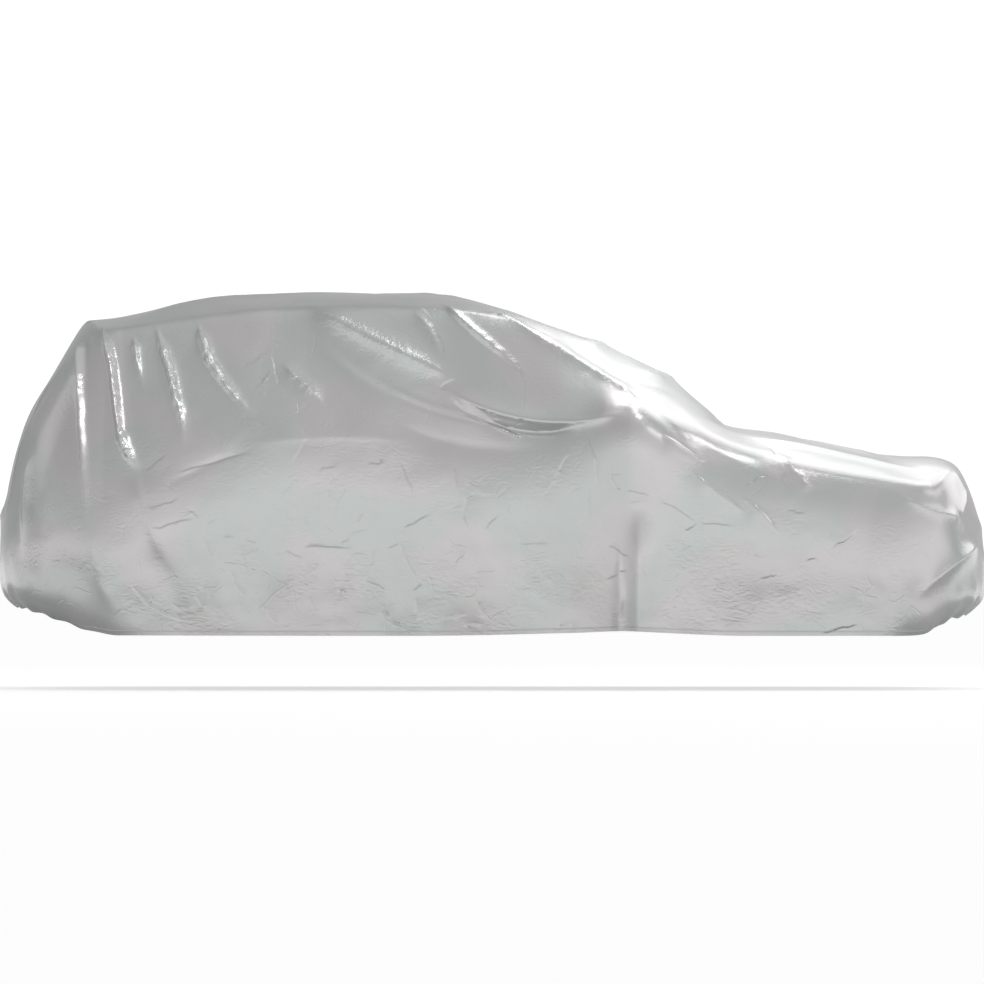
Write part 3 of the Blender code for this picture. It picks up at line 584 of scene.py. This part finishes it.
def along_path(points, outward, path, reach):
    """For the points within reach of a path: which they are, how far off it each lies, on which side, and
    how far along the path."""
    low = path.min(axis=0) - reach
    high = path.max(axis=0) + reach
    near = np.flatnonzero(np.all((points > low) & (points < high), axis=1))
    here = points[near]
    best = np.full(len(near), np.inf)
    side = np.zeros(len(near), bool)
    share = np.zeros(len(near))
    for step, (a, b) in enumerate(zip(path[:-1], path[1:])):
        run = b - a
        along = np.clip((here - a) @ run / max(run @ run, TINY), 0, 1)
        away = here - (a + along[:, None] * run)
        distance = np.linalg.norm(away, axis=1)
        to_right = np.einsum("ij,ij->i", np.cross(run, outward[near]), away) > 0
        closer = distance < best
        best = np.where(closer, distance, best)
        side = np.where(closer, to_right, side)
        share = np.where(closer, (step + along) / (len(path) - 1), share)
    return near, best, side, share


def crest(distance, half_width, softness=CREST_SOFTNESS, straight=False):
    """The share of a fold's or peak's height that is left at a distance from its crest."""
    soft = softness * half_width
    down = (np.hypot(distance, soft) - soft) / half_width
    curved = np.exp(-down)
    if not straight:
        return curved
    flat = (np.hypot(1 - down, FOOT_SOFTNESS) + 1 - down) / 2
    return STRAIGHTNESS * flat + (1 - STRAIGHTNESS) * curved


def taper(share, rise, fall):
    """How much of a fold is there along its length. A rise or fall of nothing lets it run on."""
    begun = ease(share / rise) if rise else 1
    left = ease((1 - share) / fall) if fall else 1
    return begun * left

# %% [markdown]
# ## One mesh, finer where it creases
#
# A crease is a few millimetres wide, and the plain cells are some sixteen across. Rather than make everything
# finer, the cells that a tight fold passes are split in two each way, and those on a crease or on the sharpest
# crests in four, while on the far side and the top four cells are joined to one. Neighbours take the extra
# points into their edges, so the sheet stays whole.

# %% How finely each cell is split
JOINED, PLAIN, FOLDED, CREASED = 0, 1, 2, FINE
CELL_REACH = 0.007
# cells that lean this far to the near side are not joined
SIDE_LEAN = 0.25
# a fold with a flank under this width is split over this share of its wider flank
TIGHT_FLANK = 0.03
FOLD_CORE = 0.8
SHARPEST = {"rear corner pleat", "pillar pleat", "pillar knee", "wing line"}

cell_columns = ring.shape[0] // FINE
cell_corners = ring[::FINE, ::FINE]
centres = (cell_corners[:, :-1] + np.roll(cell_corners, -1, axis=0)[:, 1:]) / 2
centre_out = ring_out[::FINE, ::FINE][:, :-1]
splits = np.where(centre_out[..., 1] < -SIDE_LEAN, PLAIN, JOINED).ravel()
centres = centres.reshape(-1, 3)
centre_out = centre_out.reshape(-1, 3)


def split_along(path, reach, pieces):
    """Split the cells within reach of a path into at least so many pieces each way."""
    near, distance, _, _ = along_path(centres, centre_out, path, 2 * reach)
    close = near[distance < reach + CELL_REACH]
    splits[close] = np.maximum(splits[close], pieces)


fold_paths = []
for fold in folds:
    marks = curve_through(fold["start"], fold["middle"], fold["end"], FOLD_STEPS)
    if fold["face"] == "near" and fold["name"] in STRAIGHT_FLANKS:
        for mark in marks:
            mark[0] += UNEVEN["wander"] * noise.noise(Vector((*mark, 0)) / UNEVEN["wander_pitch"])
    path = chalk(fold["face"], marks)
    fold_paths.append(path)
    if fold["face"] == "near" and min(fold["left"], fold["right"]) < TIGHT_FLANK:
        split_along(path, FOLD_CORE * max(fold["left"], fold["right"]), FOLDED)
    if fold["face"] == "near" and fold["name"] in SHARPEST:
        split_along(path, fold["right"], CREASED)
waver = np.random.default_rng(WAVER_SEED)
crease_paths = []
for *marks, _, half_width in creases:
    marks = curve_through(*np.reshape(marks, (3, 2)), CREASE_STEPS)
    marks[1:-1] += waver.normal(0, CREASE_WAVER, (CREASE_STEPS - 1, 2))
    crease_paths.append(chalk("near", marks))
    split_along(crease_paths[-1], half_width * CREASE_WIDTH, CREASED)
splits = splits.reshape(cell_columns, ROW_CELLS)
for kind, name in ((JOINED, "joined"), (PLAIN, "plain"), (FOLDED, "on folds"), (CREASED, "on creases")):
    print("cells", name, int((splits == kind).sum()))

# %% The points in use and the faces between them
def patches():
    """Every face to be, as its first column and row in the fine grid and its steps each way."""
    out = []
    for i in range(0, cell_columns, 2):
        for j in range(0, ROW_CELLS, 2):
            block = splits[i : i + 2, j : j + 2]
            if block.max() == JOINED:
                out.append((i * FINE, j * FINE, 2 * FINE))
                continue
            for (a, b), pieces in np.ndenumerate(np.maximum(block, PLAIN)):
                step = FINE // pieces
                left, top = (i + a) * FINE, (j + b) * FINE
                for c in range(0, FINE, step):
                    out += [(left + c, top + d, step) for d in range(0, FINE, step)]
    return out


def sheet_mesh():
    """Points in use, as places in the fine grid, and the faces of the sheet."""
    columns = ring.shape[0]
    made = patches()
    number = np.full(ring.shape[:2], -1)
    for left, top, step in made:
        for a in (left, (left + step) % columns):
            number[a, top] = number[a, top + step] = 0
    places = np.argwhere(number == 0)
    number[number == 0] = np.arange(len(places))
    faces = []
    for left, top, step in made:
        low, right = top + step, (left + step) % columns
        loop = [number[left, b] for b in range(top, low)]
        loop += [number[a % columns, low] for a in range(left, left + step)]
        loop += [number[right, b] for b in range(low, top, -1)]
        loop += [number[a % columns, top] for a in range(left + step, left, -1)]
        faces.append(tuple(v for v in loop if v >= 0))
    middle = [v for v in number[:, 0] if v >= 0]
    for a, b in zip(range(len(middle) // 2), range(len(middle), len(middle) // 2, -1)):
        corners = (middle[a], middle[a + 1], middle[b - 1], middle[b % len(middle)])
        faces.append(tuple(dict.fromkeys(corners)))
    return places, faces


places, faces = sheet_mesh()
points = ring[places[:, 0], places[:, 1]]
outward = ring_out[places[:, 0], places[:, 1]]
print("points", len(points), "faces", len(faces))

# %% [markdown]
# ## Pressing it all in
#
# On the real cover the folds hang from what pulls the cloth: the corners of the roof, the mirrors and the
# elastic. They could be sculpted or simulated. Here each point is moved straight out by the sum of all the
# shapes near it, so that folds run softly into one another and every one stays where it was chalked.

# %% Shapes of a fold, a peak and the gathers
def fold_shift(fold, path):
    """How far a fold lifts each point of the cloth."""
    reach = FOLD_REACH * max(fold["left"], fold["right"])
    near, distance, side, share = along_path(points, outward, path, reach)
    width = np.where(side, fold["right"], fold["left"])
    there = taper(share, fold["rise"], fold["fall"]) * np.ones(len(near))
    straight = fold["name"] in STRAIGHT_FLANKS and fold["face"] == "near"
    if straight:
        width = width * np.maximum(taper(share, fold["rise"], 0), THIN_END)
        puckers = [noise.noise(Vector(point) / UNEVEN["pitch"]) for point in points[near]]
        there = there * (1 + UNEVEN["share"] * CRUMPLED.get(fold["name"], 0) * np.array(puckers))
    shift = np.zeros(len(points))
    shift[near] = fold["height"] * there * crest(distance, width, straight=straight)
    return shift


def peak_shift(face, place, height, half_width):
    """How far a peak under the cloth lifts each point of it."""
    top = chalk(face, [place])[0]
    return height * crest(np.linalg.norm(points - top, axis=1), half_width, PEAK_SOFTNESS)


hem = ring[:, -1]
above = np.linalg.norm(points - hem[places[:, 0]], axis=1)


def gather_shift():
    """How far the elastic's gathers lift each point of the cloth."""
    pace = np.linalg.norm(np.roll(hem, -1, axis=0) - hem, axis=1)
    run = np.cumsum(pace)
    waves = round(run[-1] / GATHER["pitch"])
    turn = run / run[-1] * 2 * math.pi
    phase = waves * turn + GATHER["bunching"] * np.sin(GATHER["bunches"] * turn)
    slack = GATHER["slackness"] * (1 - np.sin(GATHER["slack_spells"] * turn + GATHER["slack_start"]))
    from_end = np.minimum(hem[:, 0], LENGTH - hem[:, 0])
    at_end = ease((GATHER["gone_after"] - from_end) / (GATHER["gone_after"] - GATHER["full_until"]))
    wave = np.sin(phase) * (1 - slack) * at_end
    grown = np.clip(1 - above / GATHER["reach"], 0, 1) ** GATHER["growth"]
    return GATHER["depth"] * wave[places[:, 0]] * grown

# %% Pressing in the folds and peaks
shift = gather_shift()
crumpled = np.zeros(len(points))
for fold, path in zip(folds, fold_paths):
    lift = fold_shift(fold, path)
    shift += lift
    if fold["name"] in CRUMPLED:
        crumpled = np.maximum(crumpled, CRUMPLED[fold["name"]] * lift / fold["height"])
for _, face, place, height, half_width in PEAKS["rows"]:
    shift += peak_shift(face, place, height, half_width)
print("the cloth is moved out by", round(shift.min(), 3), "to", round(shift.max(), 3))

# %% Pressing in the creases
# how deep each point lies in a crease's groove, for the film's colour there: real wear, and painted shade in the
# groove
worn_and_shaded = np.zeros(len(points))
for path, (*_, depth, half_width) in zip(crease_paths, creases):
    half_width *= CREASE_WIDTH
    near, distance, side, share = along_path(points, outward, path, FLANK_SPAN)
    there = taper(share, CREASE_END, CREASE_END)
    line_shape = np.exp(-((distance / half_width) ** 2))
    flank = np.tanh(distance / half_width) * np.exp(-distance / FLANK_REACH)
    shift[near] -= GROOVE_SHARE * depth * there * line_shape
    shift[near] += FLANK_SHARE * depth * there * flank * np.where(side, 1, -1)
    if depth > 0:
        worn_and_shaded[near] = np.maximum(worn_and_shaded[near], there * line_shape)
print(int((worn_and_shaded > 0.5).sum()), "points lie in a crease")

# %% Slack ripples and crumple
for layer, (wavelength, height, calm) in enumerate(RIPPLES["rows"]):
    ripple_at = layer * Vector(RIPPLE_APART)
    calm_at = Vector(CALM_START) + layer * Vector(CALM_APART)
    for place, point in enumerate(points):
        spot = Vector(point) / wavelength
        wave = noise.noise(spot + ripple_at)
        loose = noise.noise(spot * CALM_SIZE + calm_at)
        shift[place] += height * wave * min(max((loose - calm) / CALM_SPAN, 0), 1)
for place in np.flatnonzero(crumpled > 0):
    wave = noise.noise(Vector(points[place]) / CRUMPLE["wavelength"])
    shift[place] += CRUMPLE["height"] * crumpled[place] * wave
shaped = points + outward * shift[:, None] - (ROOF_X, 0, ROOF_RISE)

# %% The sheet as an object
mesh = bpy.data.meshes.new("silver_cover")
mesh.from_pydata(shaped.tolist(), [], faces)
mesh.validate()
mesh.shade_smooth()
for name, amount in (("crease_wear_and_shade", worn_and_shaded), ("crumple", crumpled), ("above_hem", above)):
    layer = mesh.attributes.new(name, "FLOAT", "POINT")
    layer.data.foreach_set("value", amount.astype(np.float32))
cover = bpy.data.objects.new("silver_cover", mesh)
bpy.context.collection.objects.link(cover)
mesh.calc_loop_triangles()
print("triangles", len(mesh.loop_triangles))

# %% [markdown]
# ## Silver film cloth
#
# The face of the cloth is a polyester taffeta under a film that is filled with aluminium flake. To the eye
# it is a soft mirror: it greys what it reflects and spreads it, much as satin paint does. Its grey drifts a
# little between cool and warm, and along a crease's groove it is painted darker, partly as wear of the film
# and partly as painted shade in the groove. What is too fine to be geometry is pressed in as bump: packing
# creases, wrinkles, the crumple of the crests and the turned-up hem.

# %% Helpers for materials
SMOOTH = {"interpolation_type": "SMOOTHSTEP"}
COLOUR_MIX = {"data_type": "RGBA"}


def linear(colour):
    """An sRGB hex colour as linear red, green, blue and alpha."""
    parts = [int(colour[i : i + 2], 16) / 255 for i in (1, 3, 5)]
    return (*[p / 12.92 if p <= 0.04045 else ((p + 0.055) / 1.055) ** 2.4 for p in parts], 1)


def add_node(tree, kind, settings=None, inputs=None, links=None):
    """A node with its settings and socket values, joined to what feeds it."""
    node = tree.nodes.new("ShaderNode" + kind)
    for name, value in (settings or {}).items():
        setattr(node, name, value)
    for name, value in (inputs or {}).items():
        node.inputs[name].default_value = value
    for name, source in (links or {}).items():
        tree.links.new(source, node.inputs[name])
    return node

# %% The film's finish
MOTTLE_SIZE = 0.3846
# how much darker a crease's groove is painted, for its wear and for the shade in it
WEAR_AND_SHADE_SHARE = 0.22
material = bpy.data.materials.new("silver_film_taffeta")
material.use_nodes = True
tree = material.node_tree
shader = tree.nodes["Principled BSDF"]
# mostly metal, so it greys what it mirrors, and rough enough to spread it
shader.inputs["Metallic"].default_value = 0.8
shader.inputs["Roughness"].default_value = 0.30
# the smooth skin of the film keeps the lights on the folds crisp
shader.inputs["Coat Weight"].default_value = 0.5
shader.inputs["Coat Roughness"].default_value = 0.14
coordinates = add_node(tree, "TexCoord").outputs["Object"]

# cool and warm grey in patches some 0.4 m across
mottle = add_node(tree, "TexNoise", None, {"Scale": 1 / MOTTLE_SIZE, "Detail": 1.0}, {"Vector": coordinates})
drift = {"From Min": 0.44, "From Max": 0.56}
warmth = add_node(tree, "MapRange", SMOOTH, drift, {"Value": mottle.outputs["Fac"]})
tones = {"A": linear("#C3C7C6"), "B": linear("#CAC8C8")}
tint = add_node(tree, "Mix", COLOUR_MIX, tones, {"Factor": warmth.outputs["Result"]})

# a faint dull line where a crease has worn the film, painted darker still for the shade that falls into the
# crease
crease_wear_and_shade = add_node(tree, "Attribute", {"attribute_name": "crease_wear_and_shade"}).outputs["Fac"]
faint_wear_and_shade = add_node(tree, "Math", {"operation": "MULTIPLY"}, {1: WEAR_AND_SHADE_SHARE}, {0: crease_wear_and_shade})
# the grey of the groove stands for worn film and for painted crease shade
dull_and_shaded = add_node(
    tree,
    "Mix",
    COLOUR_MIX,
    {"B": linear("#8E9291")},
    {"Factor": faint_wear_and_shade.outputs["Value"], "A": tint.outputs["Result"]},
)
tree.links.new(dull_and_shaded.outputs["Result"], shader.inputs["Base Color"])
mesh.materials.append(material)

# %% Packing creases as bump
WARP_SIZE = 0.1111
WARP = (0.05, 0.05, 0.05)
# short straight creases left by the packing, 120 and 65 mm apart, in broken pieces
PACK_COLUMNS = ("spacing", "half_width", "depth", "turn")
PACK_ROWS = ((0.120, 0.0022, 0.0004, (0.0, 0.0, 0.0)), (0.065, 0.0018, 0.0002, (0.6, 0.3, 1.1)))
PIECES_PER_SPACING = 1.4
PIECE_ENDS = {"From Min": 0.57, "From Max": 0.66}
warp = add_node(tree, "TexNoise", None, {"Scale": 1 / WARP_SIZE, "Detail": 1.0}, {"Vector": coordinates})
warped = add_node(
    tree,
    "VectorMath",
    {"operation": "MULTIPLY_ADD"},
    {1: WARP},
    {0: warp.outputs["Color"], 2: coordinates},
).outputs["Vector"]
heights = []
for row in PACK_ROWS:
    pack = dict(zip(PACK_COLUMNS, row))
    scale = 1 / pack["spacing"]
    turned = add_node(tree, "Mapping", None, {"Rotation": pack["turn"]}, {"Vector": warped}).outputs["Vector"]
    cells = add_node(tree, "TexVoronoi", {"feature": "DISTANCE_TO_EDGE"}, {"Scale": scale}, {"Vector": turned})
    span = {"From Min": 0.0, "From Max": pack["half_width"] * scale * 2, "To Min": -pack["depth"], "To Max": 0.0}
    groove = add_node(tree, "MapRange", SMOOTH, span, {"Value": cells.outputs["Distance"]})
    pieces = {"Scale": PIECES_PER_SPACING * scale, "Detail": 0.0}
    where = add_node(tree, "TexNoise", None, pieces, {"Vector": turned})
    broken = add_node(tree, "MapRange", SMOOTH, PIECE_ENDS, {"Value": where.outputs["Fac"]})
    heights.append((groove.outputs["Result"], broken.outputs["Result"]))

# %% Wrinkles and crumple as bump
# long shallow wrinkles in two directions, 18 mm across and some 40 mm long, in patches some 0.2 m across
WRINKLE_SIZE = 0.018
WRINKLE_STRETCH = (0.45, 1.0, 1.0)
WRINKLE_COLUMNS = ("turn", "depth", "patch_size")
WRINKLE_ROWS = (((0.3, 0.5, 0.15), 0.0015, 0.20), ((0.2, -0.9, -0.7), 0.0017, 0.17))
# fine crumple on the crests of the tight folds, 16 mm across
CRINKLE = {"Scale": 1 / 0.016, "Detail": 2.0, "Roughness": 0.6}
CRINKLE_DEPTH = 0.0045
for row in WRINKLE_ROWS:
    wrinkle = dict(zip(WRINKLE_COLUMNS, row))
    lie = {"Rotation": wrinkle["turn"], "Scale": WRINKLE_STRETCH}
    turned = add_node(tree, "Mapping", None, lie, {"Vector": warped}).outputs["Vector"]
    wave = add_node(tree, "TexNoise", None, {"Scale": 1 / WRINKLE_SIZE, "Detail": 0.5}, {"Vector": turned})
    ridge = add_node(tree, "Math", {"operation": "PINGPONG"}, {1: 0.5}, {0: wave.outputs["Fac"]})
    patch = {"Scale": 1 / wrinkle["patch_size"], "Detail": 1.0}
    where = add_node(tree, "TexNoise", None, patch, {"Vector": coordinates})
    span = {"From Min": 0.42, "From Max": 0.70, "To Min": 0.0, "To Max": -wrinkle["depth"]}
    here = add_node(tree, "MapRange", SMOOTH, span, {"Value": where.outputs["Fac"]})
    heights.append((ridge.outputs["Value"], here.outputs["Result"]))
crumple = add_node(tree, "Attribute", {"attribute_name": "crumple"}).outputs["Fac"]
crinkle = add_node(tree, "TexNoise", None, CRINKLE, {"Vector": warped})
deep = add_node(tree, "Math", {"operation": "MULTIPLY"}, {1: CRINKLE_DEPTH}, {0: crumple})
heights.append((crinkle.outputs["Fac"], deep.outputs["Value"]))

# %% The turned-up hem as bump, and all heights together
# two layers stand a millimetre proud up to 20 mm, with a stitched groove a little lower, drawn as one line
# because its stitches are too fine to show
TURN_UP = {"From Min": 0.019, "From Max": 0.022, "To Min": 0.0012, "To Max": 0.0}
STITCH_LINE = 0.0165
STITCH_HALF_WIDTH = 0.0012
STITCH_DEPTH = 0.0008
above_hem = add_node(tree, "Attribute", {"attribute_name": "above_hem"}).outputs["Fac"]
layers = add_node(tree, "MapRange", SMOOTH, TURN_UP, {"Value": above_hem})
line_at = {1: STITCH_LINE, 2: STITCH_HALF_WIDTH}
stitched = add_node(tree, "Math", {"operation": "COMPARE"}, line_at, {0: above_hem})
height = add_node(
    tree,
    "Math",
    {"operation": "MULTIPLY_ADD"},
    {1: -STITCH_DEPTH},
    {0: stitched.outputs["Value"], 2: layers.outputs["Result"]},
)
for value, amount in heights:
    links = {0: value, 1: amount, 2: height.outputs["Value"]}
    height = add_node(tree, "Math", {"operation": "MULTIPLY_ADD"}, None, links)
full = {"Distance": 1.0, "Strength": 1.0}
bump = add_node(tree, "Bump", None, full, {"Height": height.outputs["Value"]})
tree.links.new(bump.outputs["Normal"], shader.inputs["Normal"])
print(len(heights) + 1, "layers of bump,", len(tree.nodes), "nodes")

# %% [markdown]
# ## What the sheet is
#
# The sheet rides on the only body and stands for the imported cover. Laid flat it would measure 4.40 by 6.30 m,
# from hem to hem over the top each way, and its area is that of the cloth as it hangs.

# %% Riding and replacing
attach(cover, "root")
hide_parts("cover")

# %% [markdown]
# ## Stage and light
#
# The floor is a pale sheet that glows a little, as a lit studio floor does, and runs far past the camera.
# Film cloth shows what it mirrors, so each light stands where some part of the cloth looks: large ones
# overhead and beyond the screen and the bonnet, small ones with a narrow beam to the side of the near folds.
# The room is a broad grey gradient, and a dark card that only the film sees stands for the floor in the cover's
# shade: painted shade that greys the lower sides in reflection.

# %% Floor and painted shade card
FLOOR_DROP = 0.23
VIEW_X = 0.682
FLOOR_RADIUS = 200
FLOOR_GLOW = 0.60
SHADE_CARD_SIZE = (9.0, 6.4)
SHADE_CARD_RISE = 0.01
PAINT_ROUGHNESS = 0.9
floor_z = -ROOF_RISE - FLOOR_DROP
bpy.ops.object.select_all(action="DESELECT")
bpy.ops.mesh.primitive_circle_add(vertices=64, radius=FLOOR_RADIUS, fill_type="NGON", location=(0, 0, floor_z))
floor = bpy.context.active_object
floor.name = "floor"
bpy.ops.object.select_all(action="DESELECT")
bpy.ops.mesh.primitive_plane_add(size=1, location=(VIEW_X, 0, floor_z + SHADE_CARD_RISE))
shade_card = bpy.context.active_object
shade_card.name = "painted_floor_shade_card"
shade_card.dimensions = (*SHADE_CARD_SIZE, 0)
bpy.ops.object.transform_apply(location=True, rotation=True, scale=True)
# seen only in the film's reflections, as painted shade of the floor beneath the cover
shade_card.visible_camera = False
shade_card.visible_diffuse = False
shade_card.visible_shadow = False
# matt paint on both, of which only the floor's glows; the card's grey is painted floor shade for the film to
# mirror
PAINTS = ((floor, "pale_floor", "#D0D0D0", FLOOR_GLOW), (shade_card, "painted_floor_shade_paint", "#BCBCBC", 0))
for piece, name, colour, glow in PAINTS:
    paint = bpy.data.materials.new(name)
    paint.use_nodes = True
    matt = paint.node_tree.nodes["Principled BSDF"]
    matt.inputs["Base Color"].default_value = linear(colour)
    matt.inputs["Roughness"].default_value = PAINT_ROUGHNESS
    matt.inputs["Emission Color"].default_value = (1, 1, 1, 1)
    matt.inputs["Emission Strength"].default_value = glow
    piece.data.materials.append(paint)
print("floor at", round(floor_z, 3))

# %% Room light
# how bright the room is from the horizon to overhead, on the camera's side and beyond the cover
SIDE_LEVELS = ((0.0, 1.20), (0.10, 1.17), (0.24, 0.86), (0.55, 0.66), (0.80, 0.62), (0.92, 0.70), (1.0, 0.80))
FAR_LEVELS = ((0.0, 0.50), (0.25, 0.50), (0.42, 0.52), (0.70, 0.52), (0.90, 0.55), (1.0, 0.66))
REAR_DIM = {"From Min": -0.8, "From Max": 0.15, "To Min": 0.70, "To Max": 1.0}
BACKDROP = (1.05, 1.05, 1.05, 1)
world = bpy.data.worlds.new("studio")
bpy.context.scene.world = world
world.use_nodes = True
room = world.node_tree
direction = add_node(room, "TexCoord").outputs["Generated"]
parts = add_node(room, "SeparateXYZ", None, None, {"Vector": direction})
ramps = []
for levels in (SIDE_LEVELS, FAR_LEVELS):
    ramp = add_node(room, "ValToRGB", None, None, {"Fac": parts.outputs["Z"]})
    stops = ramp.color_ramp.elements
    stops[0].position, stops[1].position = levels[0][0], levels[-1][0]
    for place, _ in levels[1:-1]:
        stops.new(place)
    for stop, (_, level) in zip(stops, levels):
        stop.color = (level, level, level, 1)
    ramps.append(ramp.outputs["Color"])
beyond = add_node(
    room, "MapRange", SMOOTH, {"From Min": -0.1, "From Max": 0.3}, {"Value": parts.outputs["Y"]}
)
walls = add_node(
    room, "Mix", COLOUR_MIX, None, {"Factor": beyond.outputs["Result"], "A": ramps[0], "B": ramps[1]}
)
rear_dim = add_node(room, "MapRange", None, REAR_DIM, {"Value": parts.outputs["X"]})
lit = add_node(
    room,
    "VectorMath",
    {"operation": "SCALE"},
    None,
    {"Vector": walls.outputs["Result"], "Scale": rear_dim.outputs["Result"]},
)
seen = add_node(room, "LightPath").outputs["Is Camera Ray"]
sky = add_node(room, "Mix", COLOUR_MIX, {"B": BACKDROP}, {"Factor": seen, "A": lit.outputs["Vector"]})
room.links.new(sky.outputs["Result"], room.nodes["Background"].inputs["Color"])

# %% Soft lights
# name, place, aim, size, power in watts and spread of the beam in degrees
LIGHT_ROWS = (
    ("screen_overhead", (1.975, 2.2, 2.5), (1.975, 1.9, -0.8), (0.65, 6.0), 30, 180),
    ("bonnet_overhead", (3.25, 3.0, 2.5), (3.25, 2.7, -0.8), (1.9, 5.2), 26, 180),
    ("screen_wall", (2.6, 3.6, 2.25), (2.6, 0.0, 2.25), (2.8, 4.3), 12, 180),
    ("far_wall", (6.4, 3.6, 2.25), (6.4, 0.0, 2.25), (4.8, 4.3), 66, 180),
    ("swag_top", (1.4, 0.8, 2.5), (0.2, -0.68, -0.2), (0.8, 0.8), 4.2, 180),
    ("wing_side", (3.1, -1.4, 3.4), (1.42, -0.87, -0.60), (1.2, 1.2), 0.26, 8),
    ("lamp_side", (5.3, 0.3, 1.8), (2.5, -0.75, -0.85), (1.0, 1.0), 0.30, 60),
    ("front_side", (4.8, -2.6, 1.9), (1.65, -0.87, -0.80), (1.4, 1.4), 0.15, 16),
    ("rear_side", (0.6, -3.6, 3.1), (-1.15, -0.7, -0.4), (1.4, 1.4), 0.75, 16),
    ("rear_wall", (-6.4, 1.7, 1.9), (-1.3, -0.3, -0.6), (3.0, 2.4), 9, 180),
)
for name, place, aim, size, power, spread in LIGHT_ROWS:
    lamp = bpy.data.lights.new(name, "AREA")
    lamp.shape = "RECTANGLE"
    lamp.size, lamp.size_y = size
    lamp.energy = power
    lamp.spread = math.radians(spread)
    light = bpy.data.objects.new(name, lamp)
    bpy.context.collection.objects.link(light)
    light.location = place
    light.rotation_euler = (Vector(aim) - Vector(place)).to_track_quat("-Z", "Y").to_euler()
    light.visible_camera = False
print(len(LIGHT_ROWS), "soft lights")

# %% Camera
# far off, with a long lens, and level with the middle of the side, so that the view is nearly flat
CAMERA_FAR = 80.0
VIEW_WIDTH = 4.133
VIEW_Z = -0.847
SENSOR = 36.0
cloth_side = cad_box[0][1]
lens = bpy.data.cameras.new("camera")
lens.sensor_width = SENSOR
lens.lens = SENSOR * (CAMERA_FAR + cloth_side) / VIEW_WIDTH
lens.clip_end = 1000
camera = bpy.data.objects.new("camera", lens)
bpy.context.collection.objects.link(camera)
camera.location = (VIEW_X, -CAMERA_FAR, VIEW_Z)
camera.rotation_euler = (math.pi / 2, 0, 0)
bpy.context.scene.camera = camera
bpy.context.scene.view_settings.view_transform = "Standard"
